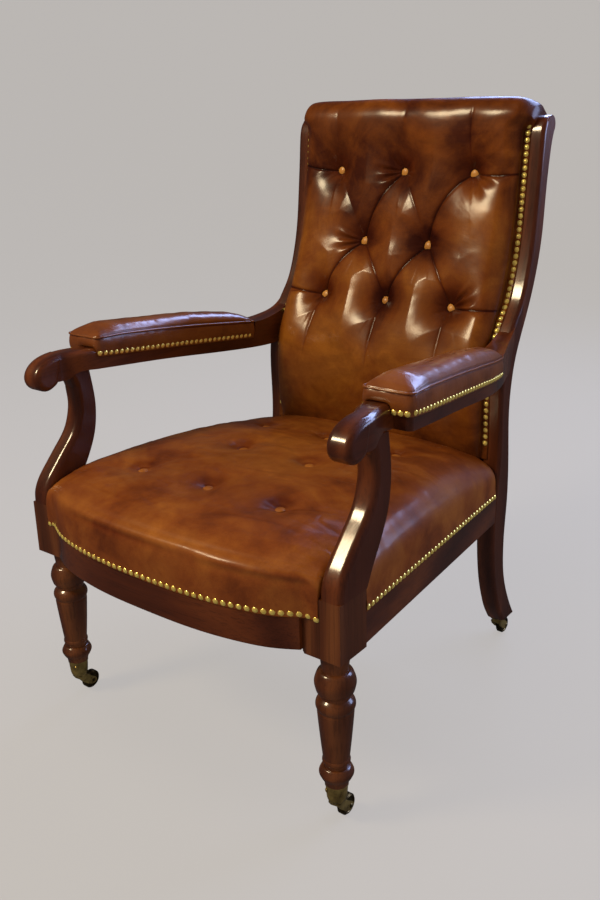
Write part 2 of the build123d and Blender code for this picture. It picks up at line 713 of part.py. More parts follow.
with BuildPart() as back_pad:
    with BuildSketch(side_plane(-236)):
        with BuildLine():
            f = Spline(*side(back_face))
            b = Spline(*side(back_rear))
            Line(b @ 1, f @ 0)
        make_face()
    extrude(amount=472)
    # towards the uprights the pad thins to the leather that is nailed to them
    for s in (-1, 1):
        with BuildSketch(side_plane(s * 221.5)):
            with BuildLine():
                h1 = Spline(*side(flange_line))
                h2 = Line(h1 @ 1, side([(100, 946)])[0])
                h3 = Line(h2 @ 1, side([(100, 360)])[0])
                h4 = Line(h3 @ 1, side([(flange_line[0][0], 360)])[0])
                h5 = Line(h4 @ 1, h1 @ 0)
            make_face()
        extrude(amount=s * 40, mode=Mode.SUBTRACT)
    rims = [g for g in back_pad.edges() if g.length > 500 and abs(abs(g.center().X) - 221.5) < 1
            and g.center().Y < fy(275)]
    print("pad rims", [round(g.length) for g in rims], "rounding",
          ease(rims, (14.0, 12.0, 10.0, 8.0, 6.0, 4.0)))
    # below the crest the pad is only as deep as the uprights' front faces
    for neighbour in (back_upright_left, back_upright_right, crest_rail, lower_back_rail,
                      seat_pad, arm_rail_left, arm_rail_right):
        add(neighbour.part, mode=Mode.SUBTRACT)
    with Locations(*button_seats):
        Cylinder(radius=9.0, height=80, align=(Align.CENTER, Align.CENTER, Align.MIN),
                 mode=Mode.SUBTRACT)
    for s in (-1, 1):
        with BuildSketch(side_plane(s * 224)):
            with BuildLine():
                g1 = Spline(*side(post_front[9:25]))
                g2 = Line(g1 @ 1, side([(374, 968)])[0])
                g3 = Line(g2 @ 1, side([(450, 968)])[0])
                g4 = Line(g3 @ 1, side([(450, 380)])[0])
                g5 = Line(g4 @ 1, g1 @ 0)
            make_face()
        extrude(amount=s * 40, mode=Mode.SUBTRACT)
print("back_pad solids", len(back_pad.solids()), [round(s.volume) for s in back_pad.solids()])
back_pad.part.label = "back_pad"
export_step(back_pad.part, "parts/back_pad.step")

# leather skin over the outside of the back, just clear of the wood
back_skin = [
    (405.0, 938), (400.2, 922), (395, 900), (390, 870), (385, 824), (379, 765),
    (369, 722), (354, 680), (336, 642), (315, 604), (295, 563), (283, 517),
    (279, 472), (284, 400), (287.4, 345), (287.2, 320), (286.6, 300),
]
skin = 2.2
with BuildPart() as outside_back:
    with BuildSketch(side_plane(-236)):
        with BuildLine():
            b = Spline(*side(back_skin))
            c = Spline(*side([(y + skin, z) for y, z in back_skin]))
            Line(b @ 1, c @ 1)
            Line(c @ 0, b @ 0)
        make_face()
    extrude(amount=472)
print("outside_back solids", len(outside_back.solids()),
      [round(s.volume) for s in outside_back.solids()])
outside_back.part.label = "outside_back"
export_step(outside_back.part, "parts/outside_back.step")

# ---------------------------------------------------------------------------
# Buttons
# ---------------------------------------------------------------------------
with BuildPart() as button:
    with BuildSketch(Plane.XZ):
        with BuildLine():
            Line((0, -3), (0, 4.2))
            ThreePointArc((0, 4.2), (5.2, 2.9), (7.6, -1))
            Line((7.6, -1), (5.5, -3))
            Line((5.5, -3), (0, -3))
        make_face()
    revolve(axis=Axis.Z)

with BuildPart() as back_buttons:
    with Locations(*button_seats):
        with Locations((0, 0, 3)):
            add(button.part)
back_buttons.part.label = "back_buttons"
export_step(back_buttons.part, "parts/back_buttons.step")

with BuildPart() as seat_tufts:
    with Locations(*[(x, fy(y), z) for x, y, z in seat_tuft_spots]):
        Cylinder(radius=6.0, height=4.0)
    fillet(seat_tufts.edges().filter_by(GeomType.CIRCLE).group_by(Axis.Z)[-1], radius=1.2)
seat_tufts.part.label = "seat_tufts"
export_step(seat_tufts.part, "parts/seat_tufts.step")

# ---------------------------------------------------------------------------
# Brass nails: domed heads on short shanks
# ---------------------------------------------------------------------------
with BuildPart() as nail:
    with BuildSketch(Plane.XZ):
        with BuildLine():
            Line((0, -8), (0, nail_h))
            ThreePointArc((0, nail_h), (2.9, 1.72), (nail_r, 0))
            Line((nail_r, 0), (0.9, 0))
            Line((0.9, 0), (0.9, -6.5))
            Line((0.9, -6.5), (0, -8))
        make_face()
    revolve(axis=Axis.Z)


def nail_at(x, y, z, nx, ny, nz):
    """Seat of a nail whose head points along the given normal."""
    length = math.sqrt(nx * nx + ny * ny + nz * nz)
    n = Vector(nx / length, ny / length, nz / length)
    return Location(Plane(origin=Vector(x, fy(y), z) + n * 0.05, z_dir=n))


def along(points, count):
    """Evenly spaced stations on a polyline of 3-D points, with the unit tangent."""
    legs = [math.dist(a, b) for a, b in zip(points, points[1:])]
    total = sum(legs)
    out = []
    for k in range(count):
        want = total * k / (count - 1)
        i = 0
        while i < len(legs) - 1 and want > legs[i]:
            want -= legs[i]
            i += 1
        t = want / legs[i]
        a, b = points[i], points[i + 1]
        p = tuple(a[j] + (b[j] - a[j]) * t for j in range(3))
        d = tuple((b[j] - a[j]) / legs[i] for j in range(3))
        out.append((p, d))
    return out


front_nail_z = 345.5
seat_front_line = refine(
    [(-272.5, -315.2, 341.5), (-256.5, -317.6, 344.5)]
    + [(x, y - 0.2, front_nail_z) for x, y in bow[1:-1]]
    + [(256.5, -317.6, 344.5), (272.5, -315.2, 341.5)])
front_stations = along(seat_front_line, 47)
with BuildPart() as nails_seat_front_left:
    with Locations(*[nail_at(p[0], p[1], p[2], d[1], -d[0], 0) for p, d in front_stations[:24]]):
        add(nail.part)
nails_seat_front_left.part.label = "nails_seat_front_left"
export_step(nails_seat_front_left.part, "parts/nails_seat_front_left.step")

with BuildPart() as nails_seat_front_right:
    with Locations(*[nail_at(p[0], p[1], p[2], d[1], -d[0], 0) for p, d in front_stations[24:]]):
        add(nail.part)
nails_seat_front_right.part.label = "nails_seat_front_right"
export_step(nails_seat_front_right.part, "parts/nails_seat_front_right.step")

side_slope = (311.0 - 259.4) / 485.0
seat_side_line = [(310.6, -247.5, 342.0), (260.2, 231.0, 323.4)]
with BuildPart() as nails_seat_right:
    seats = []
    for p, d in along(seat_side_line, 40):
        seats.append(nail_at(p[0], p[1], p[2], d[1], -d[0], 0))
    with Locations(*seats):
        add(nail.part)
nails_seat_right.part.label = "nails_seat_right"
export_step(nails_seat_right.part, "parts/nails_seat_right.step")

with BuildPart() as nails_seat_left:
    mirror(nails_seat_right.part, about=Plane.YZ)
nails_seat_left.part.label = "nails_seat_left"
export_step(nails_seat_left.part, "parts/nails_seat_left.step")


def arm_nail_z(y):
    """Height of the nail row along the arm."""
    pts = [(-204, 606.0), (-140, 598.5), (-51, 590.0), (56, 579.5), (184, 566.5)]
    for (y0, z0), (y1, z1) in zip(pts, pts[1:]):
        if y <= y1:
            return z0 + (z1 - z0) * (y - y0) / (y1 - y0)
    return pts[-1][1]


outer_line = refine([(x, y) for x, y in pad_out])
inner_line = refine([(x, y) for x, y in pad_in])
with BuildPart() as nails_arm_right:
    seats = []
    line3 = [(x, y, arm_nail_z(y)) for x, y in outer_line]
    for p, d in along(line3, 33):
        if p[1] < 172:
            seats.append(nail_at(p[0], p[1], p[2], d[1], -d[0], 0))
    line3 = [(x, y, arm_nail_z(y)) for x, y in inner_line + [(263.0, -185.5)]]
    for p, d in along(line3, 33):
        if p[1] < 172:
            seats.append(nail_at(p[0], p[1], p[2], d[1], -d[0], 0))
    for x, y in ((313.0, -190.3), (322.5, -189.4), (331.5, -187.9)):
        seats.append(nail_at(x, y, 602.0, 0.09, -1, 0))
    with Locations(*seats):
        add(nail.part)
print("nails_arm_right solids", len(nails_arm_right.solids()))
nails_arm_right.part.label = "nails_arm_right"
export_step(nails_arm_right.part, "parts/nails_arm_right.step")

with BuildPart() as nails_arm_left:
    mirror(nails_arm_right.part, about=Plane.YZ)
nails_arm_left.part.label = "nails_arm_left"
export_step(nails_arm_left.part, "parts/nails_arm_left.step")

# the arm's rear end covers the row where it meets the upright
back_stations = [nail_at(p[0], p[1] - hide * d[2], p[2] + hide * d[1], 0, -d[2], d[1])
                 for p, d in along([(229.6, y, z) for y, z in post_line if 600 < z < 956.5], 34)]
low_stations = [nail_at(p[0], p[1] - hide * d[2], p[2] + hide * d[1], 0, -d[2], d[1])
                for p, d in along([(229.6, y, z) for y, z in post_line if 414 < z < 536], 11)]
with BuildPart() as nails_back_low_right:
    with Locations(*low_stations):
        add(nail.part)
nails_back_low_right.part.label = "nails_back_low_right"
export_step(nails_back_low_right.part, "parts/nails_back_low_right.step")

with BuildPart() as nails_back_low_left:
    mirror(nails_back_low_right.part, about=Plane.YZ)
nails_back_low_left.part.label = "nails_back_low_left"
export_step(nails_back_low_left.part, "parts/nails_back_low_left.step")

with BuildPart() as nails_back_right:
    with Locations(*back_stations):
        add(nail.part)
print("nails_back_right solids", len(nails_back_right.solids()))
nails_back_right.part.label = "nails_back_right"
export_step(nails_back_right.part, "parts/nails_back_right.step")

with BuildPart() as nails_back_left:
    mirror(nails_back_right.part, about=Plane.YZ)
nails_back_left.part.label = "nails_back_left"
export_step(nails_back_left.part, "parts/nails_back_left.step")

rear_line = [p for p in refine([(y + skin, z) for y, z in back_skin]) if 308 < p[1] < 918]
outside_stations = along([(229.0, y, z) for y, z in rear_line], 50)
with BuildPart() as nails_outside_right:
    with Locations(*[nail_at(p[0], p[1], p[2], 0, d[2], -d[1])
                     for p, d in outside_stations if 375 < p[2] < 855]):
        add(nail.part)
nails_outside_right.part.label = "nails_outside_right"
export_step(nails_outside_right.part, "parts/nails_outside_right.step")

with BuildPart() as nails_outside_left:
    mirror(nails_outside_right.part, about=Plane.YZ)
nails_outside_left.part.label = "nails_outside_left"
export_step(nails_outside_left.part, "parts/nails_outside_left.step")

# the top and bottom rows turn the corners
with BuildPart() as nails_outside_top:
    with Locations(*[nail_at(k * 12.8, rear_line[0][0], rear_line[0][1], 0, 1, -0.25)
                     for k in range(-17, 18)]):
        add(nail.part)
    with Locations(*[nail_at(s * p[0], p[1], p[2], 0, d[2], -d[1])
                     for p, d in outside_stations if p[2] >= 855 for s in (-1, 1)]):
        add(nail.part)
nails_outside_top.part.label = "nails_outside_top"
export_step(nails_outside_top.part, "parts/nails_outside_top.step")

with BuildPart() as nails_outside_bottom:
    with Locations(*[nail_at(k * 12.8, rear_line[-1][0], rear_line[-1][1], 0, 1, 0)
                     for k in range(-17, 18)]):
        add(nail.part)
    with Locations(*[nail_at(s * p[0], p[1], p[2], 0, d[2], -d[1])
                     for p, d in outside_stations if p[2] <= 375 for s in (-1, 1)]):
        add(nail.part)
nails_outside_bottom.part.label = "nails_outside_bottom"
export_step(nails_outside_bottom.part, "parts/nails_outside_bottom.step")

# ---------------------------------------------------------------------------
# Glued dowels and screws inside the frame
# ---------------------------------------------------------------------------
with BuildPart() as frame_dowels:
    for s in (-1, 1):
        across = [
            (s * 249, -300, 312, 36), (s * 249, -300, 342, 30),
            (s * 224, 269, 292, 40), (s * 224, 269, 322, 40),
            (s * 224, 378, 912, 40), (s * 224, 382, 940, 40),
            (s * 224, 263, 436, 40), (s * 224, 262, 454, 40),
        ]
        for x, y, z, length in across:
            with Locations((x, fy(y), z)):
                Cylinder(radius=4.5, height=length, rotation=(0, 90, 0))
        for x, y, z in ((s * 297, -253, 310), (s * 297, -253, 338),
                        (s * 246, 239, 292), (s * 246, 240, 318),
                        (s * 246, 258, 574)):
            with Locations((x, fy(y), z)):
                Cylinder(radius=4.5, height=34, rotation=(90, 0, 0))
        with Locations((s * 294, fy(-284), block_top), (s * 297, fy(-215), 577)):
            Cylinder(radius=5.0, height=40)
frame_dowels.part.label = "frame_dowels"
export_step(frame_dowels.part, "parts/frame_dowels.step")

with BuildPart() as screw:
    with BuildSketch(Plane.XZ):
        with BuildLine():
            Polyline((0, 0), (3.8, 0), (2.0, -2.6), (2.0, -28), (0, -31), (0, 0))
        make_face()
    revolve(axis=Axis.Z)
    with Locations((0, 0, 0)):
        Box(9, 0.9, 1.6, mode=Mode.SUBTRACT)

with BuildPart() as block_screws:
    seats = []
    for s in (-1, 1):
        for x, y, z, nx, ny in (
            (s * 262, -214.2, 319, -s * 0.7071, 0.7071),
            (s * 241, -234.9, 319, -s * 0.7071, 0.7071),
            (s * 203, 206.0, 309, -s * 0.7071, -0.7071),
            (s * 185, 224.0, 309, -s * 0.7071, -0.7071),
        ):
            n = Vector(nx, ny, 0).normalized()
            seats.append(Location(Plane(origin=Vector(x, fy(y), z) + n * 0.1, z_dir=n)))
    with Locations(*seats):
        add(screw.part)
block_screws.part.label = "block_screws"
export_step(block_screws.part, "parts/block_screws.step")

# ---------------------------------------------------------------------------
# Castors: brass cups on the turned legs, brass plates under the sabre legs,
# and on each a swivelling fork with its wheel
# ---------------------------------------------------------------------------
spots = {
    "front_right": (leg_x, leg_y), "front_left": (-leg_x, leg_y),
    "back_right": (rear_castor_x, rear_castor_y), "back_left": (-rear_castor_x, rear_castor_y),
}
for corner, (cx, cy) in spots.items():
    upright_plane = Plane(origin=(cx, fy(cy), 0), x_dir=(1, 0, 0), z_dir=(0, -1, 0))
    axis = Axis((cx, fy(cy), 0), (0, 0, 1))
    front = corner.startswith("front")
    # socket or plate, fixed to the leg
    if front:
        with BuildPart() as castor_cup:
            with BuildSketch(upright_plane):
                with BuildLine():
                    Polyline((pin_r + running, 37.4), (9.5, 37.4))
                    Spline((9.5, 37.4), (12.6, 39.5), (14.4, 44), (15.4, 55), (16.2, 65.2),
                           tangents=[(1, 0.1), (0.05, 1)])
                    Polyline((16.2, 65.2), (17.2, 66.0), (17.2, 68.0), (14.2, 68.0), (12.6, 48.0),
                             (9.0, 48.0), (9.0, 42.2), (pin_r + running, 42.2),
                             (pin_r + running, 37.4))
                make_face()
            revolve(axis=axis)
        castor_cup.part.label = "castor_cup_" + corner
        export_step(castor_cup.part, "parts/castor_cup_" + corner + ".step")
        top = 37.0
    else:
        with BuildPart() as castor_plate:
            with BuildSketch(upright_plane):
                with BuildLine():
                    Polyline((pin_r + running, 42.4), (14.4, 42.4), (15.0, 43.0), (15.0, 46.0),
                             (pin_r + running, 46.0), (pin_r + running, 42.4))
                make_face()
            revolve(axis=axis)
        castor_plate.part.label = "castor_plate_" + corner
        export_step(castor_plate.part, "parts/castor_plate_" + corner + ".step")
        top = 42.0
    hub_y = cy + trail
    # fork: boss, swivel pin with its riveted head, and two cheeks down to the axle
    with BuildPart() as castor_fork:
        with BuildSketch(upright_plane):
            with BuildLine():
                if front:
                    Polyline((0, 33.6), (9.0, 33.6), (9.6, 34.2), (9.6, 36.4), (9.0, top),
                             (pin_r, top), (pin_r, 42.6), (5.4, 42.6), (5.4, 44.6), (0, 46.0),
                             (0, 33.6))
                else:
                    Polyline((0, 33.6), (9.0, 33.6), (9.6, 34.2), (10.6, 41.2), (9.8, top),
                             (pin_r, top), (pin_r, 46.6), (5.4, 46.6), (5.4, 48.6), (0, 50.0),
                             (0, 33.6))
            make_face()
        revolve(axis=axis)
        with BuildSketch(side_plane(cx - wheel_w / 2 - 3.4)):
            with BuildLine():
                Polyline(*side([
                    (cy - 8.0, 36.2), (cy - 8.4, 34.0), (cy - 4.0, 27.0), (cy + 9.0, 15.0),
                    (hub_y - 4.5, 10.6), (hub_y + 2.0, 10.0), (hub_y + 6.0, 13.6),
                    (hub_y + 6.0, 18.6), (hub_y + 2.0, 22.0), (cy + 10.5, 33.6),
                    (cy + 8.0, 36.2), (cy - 8.0, 36.2),
                ]))
            make_face()
        extrude(amount=wheel_w + 6.8)
        # slot for the wheel, leaving two cheeks and the boss
        with BuildSketch(side_plane(cx - wheel_w / 2 - 0.6)):
            with BuildLine():
                Polyline(*side([
                    (cy - 30, 0), (cy - 30, 31.0), (cy + 3.6, 31.0), (cy + 9.5, 34.6),
                    (cy + 9.5, 60), (hub_y + 30, 60), (hub_y + 30, 0), (cy - 30, 0),
                ]))
            make_face()
        extrude(amount=wheel_w + 1.2, mode=Mode.SUBTRACT)
        with Locations(Plane(origin=(cx, fy(hub_y), wheel_r), z_dir=(1, 0, 0))):
            Cylinder(radius=2.4, height=40, mode=Mode.SUBTRACT)
    print("fork", corner, "solids", len(castor_fork.solids()))
    castor_fork.part.label = "castor_fork_" + corner
    export_step(castor_fork.part, "parts/castor_fork_" + corner + ".step")

    wheel_plane = Plane(origin=(cx, fy(hub_y), wheel_r), x_dir=(0, 0, 1), z_dir=(0, -1, 0))
    hub_axis = Axis((cx, fy(hub_y), wheel_r), (1, 0, 0))
    # axle, riveted over outside the cheeks
    with BuildPart() as castor_axle:
        with Locations(Plane(origin=(cx, fy(hub_y), wheel_r), z_dir=(1, 0, 0))):
            Cylinder(radius=2.4, height=wheel_w + 6.8)
        with Locations(Plane(origin=(cx + wheel_w / 2 + 3.4, fy(hub_y), wheel_r), z_dir=(1, 0, 0)),
                       Plane(origin=(cx - wheel_w / 2 - 3.4, fy(hub_y), wheel_r),
                             z_dir=(-1, 0, 0))):
            Cone(bottom_radius=3.8, top_radius=2.6, height=1.3,
                 align=(Align.CENTER, Align.CENTER, Align.MIN))
    castor_axle.part.label = "castor_axle_" + corner
    export_step(castor_axle.part, "parts/castor_axle_" + corner + ".step")

    with BuildPart() as castor_wheel:
        with BuildSketch(Plane(origin=(cx, fy(hub_y), wheel_r), x_dir=(1, 0, 0),
                               z_dir=(0, -1, 0))):
            with BuildLine():
                Polyline((-6.0, 2.4 + running), (-6.0, 5.6), (-4.6, 6.2), (-4.6, 11.4),
                         (-6.0, 12.2), (-6.0, 14.0), (-4.0, wheel_r), (4.0, wheel_r),
                         (6.0, 14.0), (6.0, 12.2), (4.6, 11.4), (4.6, 6.2), (6.0, 5.6),
                         (6.0, 2.4 + running), (-6.0, 2.4 + running))
            make_face()
        revolve(axis=hub_axis)
    castor_wheel.part.label = "castor_wheel_" + corner
    export_step(castor_wheel.part, "parts/castor_wheel_" + corner + ".step")

with BuildPart() as castor_screws:
    seats = []
    for s in (-1, 1):
        n = Vector(-s * 0.55, -0.835, 0.05).normalized()
        seats.append(Location(Plane(origin=Vector(s * leg_x, fy(leg_y), 57.5) + n * 16.3,
                                    z_dir=n)))
    with Locations(*seats):
        with Locations((0, 0, 0)):
            Cylinder(radius=1.5, height=13, align=(Align.CENTER, Align.CENTER, Align.MAX))
            Cone(bottom_radius=3.2, top_radius=2.4, height=0.9,
                 align=(Align.CENTER, Align.CENTER, Align.MIN))
    for s in (-1, 1):
        with Locations((s * rear_castor_x, fy(rear_castor_y), 42.4)):
            with PolarLocations(radius=11.2, count=3, start_angle=90):
                Cylinder(radius=1.4, height=14, align=(Align.CENTER, Align.CENTER, Align.MIN))
                Cylinder(radius=2.4, height=0.35, align=(Align.CENTER, Align.CENTER, Align.MAX))
print("castor_screws solids", len(castor_screws.solids()))
castor_screws.part.label = "castor_screws"
export_step(castor_screws.part, "parts/castor_screws.step")
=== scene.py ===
import math

import bmesh
import bpy
import numpy as np
from mathutils import Matrix, Vector


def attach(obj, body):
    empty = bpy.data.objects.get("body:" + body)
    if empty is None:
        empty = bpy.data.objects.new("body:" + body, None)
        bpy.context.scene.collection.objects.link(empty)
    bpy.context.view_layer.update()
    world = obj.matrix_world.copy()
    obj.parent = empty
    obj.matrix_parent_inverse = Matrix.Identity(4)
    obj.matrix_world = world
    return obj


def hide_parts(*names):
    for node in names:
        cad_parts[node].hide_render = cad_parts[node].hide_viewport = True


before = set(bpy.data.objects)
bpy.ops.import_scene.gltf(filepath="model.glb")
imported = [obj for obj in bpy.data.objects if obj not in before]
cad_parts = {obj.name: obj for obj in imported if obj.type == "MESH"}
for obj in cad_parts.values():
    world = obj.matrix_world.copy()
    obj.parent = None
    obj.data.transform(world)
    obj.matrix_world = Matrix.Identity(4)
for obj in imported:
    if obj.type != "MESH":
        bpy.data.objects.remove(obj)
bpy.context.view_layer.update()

# ---------------------------------------------------------------------------
# Library armchair: looks.  Working figures are millimetres from the leg datum
# (x across, y fore and aft, z up); make_mesh() turns them into the frame.
# ---------------------------------------------------------------------------
DATUM = 20.081
scene = bpy.context.scene
scene.view_settings.view_transform = "Standard"
scene.view_settings.look = "None"


# ---------------------------------------------------------------------------
# small numeric helpers
# ---------------------------------------------------------------------------
def curve(points, t):
    """Catmull-Rom through the points, at index parameters t."""
    p = np.asarray(points, float)
    n = len(p)
    t = np.clip(np.asarray(t, float), 0, n - 1)
    i = np.minimum(np.floor(t).astype(int), n - 2)
    f = (t - i)[:, None]
    p0 = np.where((i == 0)[:, None], 2 * p[0] - p[1], p[np.maximum(i - 1, 0)])
    p1, p2 = p[i], p[i + 1]
    p3 = np.where((i == n - 2)[:, None], 2 * p[-1] - p[-2], p[np.minimum(i + 2, n - 1)])
    return 0.5 * (2 * p1 + (p2 - p0) * f + (2 * p0 - 5 * p1 + 4 * p2 - p3) * f ** 2
                  + (3 * p1 - p0 - 3 * p2 + p3) * f ** 3)


def even(points, count):
    """Index parameters that step evenly along the curve, and its length."""
    t = np.linspace(0, len(points) - 1, 60 * len(points))
    c = curve(points, t)
    s = np.concatenate([[0], np.cumsum(np.linalg.norm(np.diff(c, axis=0), axis=1))])
    return np.interp(np.linspace(0, s[-1], count), s, t), s[-1]


def smooth01(a, lo, hi):
    f = np.clip((np.asarray(a, float) - lo) / (hi - lo), 0, 1)
    return f * f * (3 - 2 * f)


def noise3(p, seed=0):
    """Smooth value noise, -1 to 1, of points (..., 3)."""
    p = np.asarray(p, float)
    i = np.floor(p).astype(np.int64)
    f = p - i
    f = f * f * f * (f * (f * 6 - 15) + 10)

    def lattice(dx, dy, dz):
        h = ((i[..., 0] + dx) * 374761393 + (i[..., 1] + dy) * 668265263
             + (i[..., 2] + dz) * 1440662683 + seed * 974634777) & 0xFFFFFFFF
        h = ((h ^ (h >> 13)) * 1274126177) & 0xFFFFFFFF
        h = h ^ (h >> 16)
        return (h & 0xFFFF) / 32767.5 - 1.0

    out = 0.0
    for dx in (0, 1):
        wx = f[..., 0] if dx else 1 - f[..., 0]
        for dy in (0, 1):
            wy = f[..., 1] if dy else 1 - f[..., 1]
            for dz in (0, 1):
                wz = f[..., 2] if dz else 1 - f[..., 2]
                out = out + wx * wy * wz * lattice(dx, dy, dz)
    return out


def fbm(p, octaves=3, seed=0):
    p = np.asarray(p, float)
    out, amp, tot = 0.0, 1.0, 0.0
    for k in range(octaves):
        out = out + amp * noise3(p * 2.03 ** k, seed + 17 * k)
        tot += amp
        amp *= 0.5
    return out / tot


def grid_faces(index):
    """Quads of a grid of vertex numbers."""
    a, b, c, d = index[:-1, :-1], index[:-1, 1:], index[1:, 1:], index[1:, :-1]
    return np.stack([a, b, c, d], -1).reshape(-1, 4).tolist()


def grid_normals(P):
    du = np.gradient(P, axis=1)
    dv = np.gradient(P, axis=0)
    n = np.cross(du, dv)
    return n / np.maximum(np.linalg.norm(n, axis=-1, keepdims=True), 1e-9)


def make_mesh(name, verts, faces, attrs=None, material=None, merge=0.0):
    v = np.array(verts, float)
    v[:, 1] -= DATUM
    v /= 1000.0
    me = bpy.data.meshes.new(name)
    me.from_pydata(v.tolist(), [], faces)
    me.update()
    for key, values in (attrs or {}).items():
        a = me.attributes.new(key, "FLOAT", "POINT")
        a.data.foreach_set("value", np.asarray(values, np.float32))
    bm = bmesh.new()
    bm.from_mesh(me)
    if merge:
        bmesh.ops.remove_doubles(bm, verts=bm.verts, dist=merge)
    bmesh.ops.dissolve_degenerate(bm, dist=1e-7, edges=bm.edges)
    bmesh.ops.recalc_face_normals(bm, faces=bm.faces)
    for f in bm.faces:
        f.smooth = True
    bm.to_mesh(me)
    bm.free()
    o = bpy.data.objects.new(name, me)
    scene.collection.objects.link(o)
    if material is not None:
        me.materials.append(material)
    return o


def tube_mesh(name, path, radius, sides=10, closed=True, material=None, attrs=None):
    """A rope of round section along a path (n, 3)."""
    p = np.asarray(path, float)
    n = len(p)
    if closed:
        d = np.roll(p, -1, 0) - np.roll(p, 1, 0)
    else:
        d = np.gradient(p, axis=0)
    d /= np.linalg.norm(d, axis=1, keepdims=True)
    up = np.array([0, 0, 1.0])
    a = np.cross(d, up)
    a /= np.maximum(np.linalg.norm(a, axis=1, keepdims=True), 1e-9)
    b = np.cross(a, d)
    ang = np.linspace(0, 2 * math.pi, sides, endpoint=False)
    ring = p[:, None, :] + radius * (a[:, None, :] * np.cos(ang)[None, :, None]
                                     + b[:, None, :] * np.sin(ang)[None, :, None])
    index = np.arange(n * sides).reshape(n, sides)
    index = np.concatenate([index, index[:, :1]], 1)
    if closed:
        index = np.concatenate([index, index[:1]], 0)
        faces = grid_faces(index)
    else:
        faces = grid_faces(index) + [list(range(sides)), [(n - 1) * sides + k for k in range(sides)]]
    return make_mesh(name, ring.reshape(-1, 3), faces, attrs, material)


# ---------------------------------------------------------------------------
# materials
# ---------------------------------------------------------------------------
class Nodes:
    def __init__(self, name):
        self.mat = bpy.data.materials.new(name)
        self.mat.use_nodes = True
        self.tree = self.mat.node_tree
        self.tree.nodes.clear()
        self.out = self.tree.nodes.new("ShaderNodeOutputMaterial")
        self.bsdf = self.tree.nodes.new("ShaderNodeBsdfPrincipled")
        self.tree.links.new(self.bsdf.outputs[0], self.out.inputs[0])
        self.coord = self.tree.nodes.new("ShaderNodeTexCoord").outputs["Object"]

    def put(self, node, key, value):
        s = node.inputs[key]
        if isinstance(value, bpy.types.NodeSocket):
            self.tree.links.new(value, s)
        else:
            s.default_value = value

    def set(self, **values):
        for k, v in values.items():
            self.put(self.bsdf, k.replace("_", " "), v)

    def new(self, kind, **values):
        n = self.tree.nodes.new(kind)
        for k, v in values.items():
            setattr(n, k, v)
        return n

    def mapped(self, scale=(1, 1, 1), rotate=(0, 0, 0), move=(0, 0, 0), vector=None):
        n = self.new("ShaderNodeMapping")
        self.put(n, "Vector", vector or self.coord)
        n.inputs["Scale"].default_value = scale
        n.inputs["Rotation"].default_value = rotate
        n.inputs["Location"].default_value = move
        return n.outputs[0]

    def noise(self, scale, detail=4.0, rough=0.55, distort=0.0, vector=None, colour=False):
        n = self.new("ShaderNodeTexNoise")
        self.put(n, "Vector", vector or self.coord)
        n.inputs["Scale"].default_value = scale
        n.inputs["Detail"].default_value = detail
        n.inputs["Roughness"].default_value = rough
        n.inputs["Distortion"].default_value = distort
        return n.outputs["Color" if colour else "Fac"]

    def voronoi(self, scale, feature="F1", vector=None, random=1.0, out="Distance", smooth=None):
        n = self.new("ShaderNodeTexVoronoi", feature=feature)
        self.put(n, "Vector", vector or self.coord)
        n.inputs["Scale"].default_value = scale
        n.inputs["Randomness"].default_value = random
        if smooth is not None and "Smoothness" in n.inputs:
            n.inputs["Smoothness"].default_value = smooth
        return n.outputs[out]

    def ramp(self, fac, stops, mode="LINEAR"):
        n = self.new("ShaderNodeValToRGB")
        self.put(n, "Fac", fac)
        n.color_ramp.interpolation = mode
        e = n.color_ramp.elements
        while len(e) < len(stops):
            e.new(0.5)
        for k, (pos, col) in enumerate(stops):
            e[k].position = pos
            e[k].color = (*col, 1) if len(col) == 3 else (col[0], col[0], col[0], 1)
        return n.outputs["Color"]

    def math(self, op, a, b=0.0, c=0.0, clamp=False):
        n = self.new("ShaderNodeMath", operation=op, use_clamp=clamp)
        for k, v in enumerate((a, b, c)):
            self.put(n, k, v)
        return n.outputs[0]

    def mix(self, a, b, fac, blend="MIX"):
        n = self.new("ShaderNodeMix", data_type="RGBA", blend_type=blend)
        self.put(n, 0, fac)
        for k, v in ((6, a), (7, b)):
            if not isinstance(v, bpy.types.NodeSocket) and len(v) == 3:
                v = (*v, 1)
            self.put(n, k, v)
        return n.outputs[2]

    def bump(self, height, strength, distance, normal=None):
        n = self.new("ShaderNodeBump")
        self.put(n, "Height", height)
        n.inputs["Strength"].default_value = strength
        n.inputs["Distance"].default_value = distance
        if normal is not None:
            self.put(n, "Normal", normal)
        return n.outputs[0]

    def attr(self, name):
        n = self.new("ShaderNodeAttribute", attribute_name=name)
        return n.outputs["Fac"]


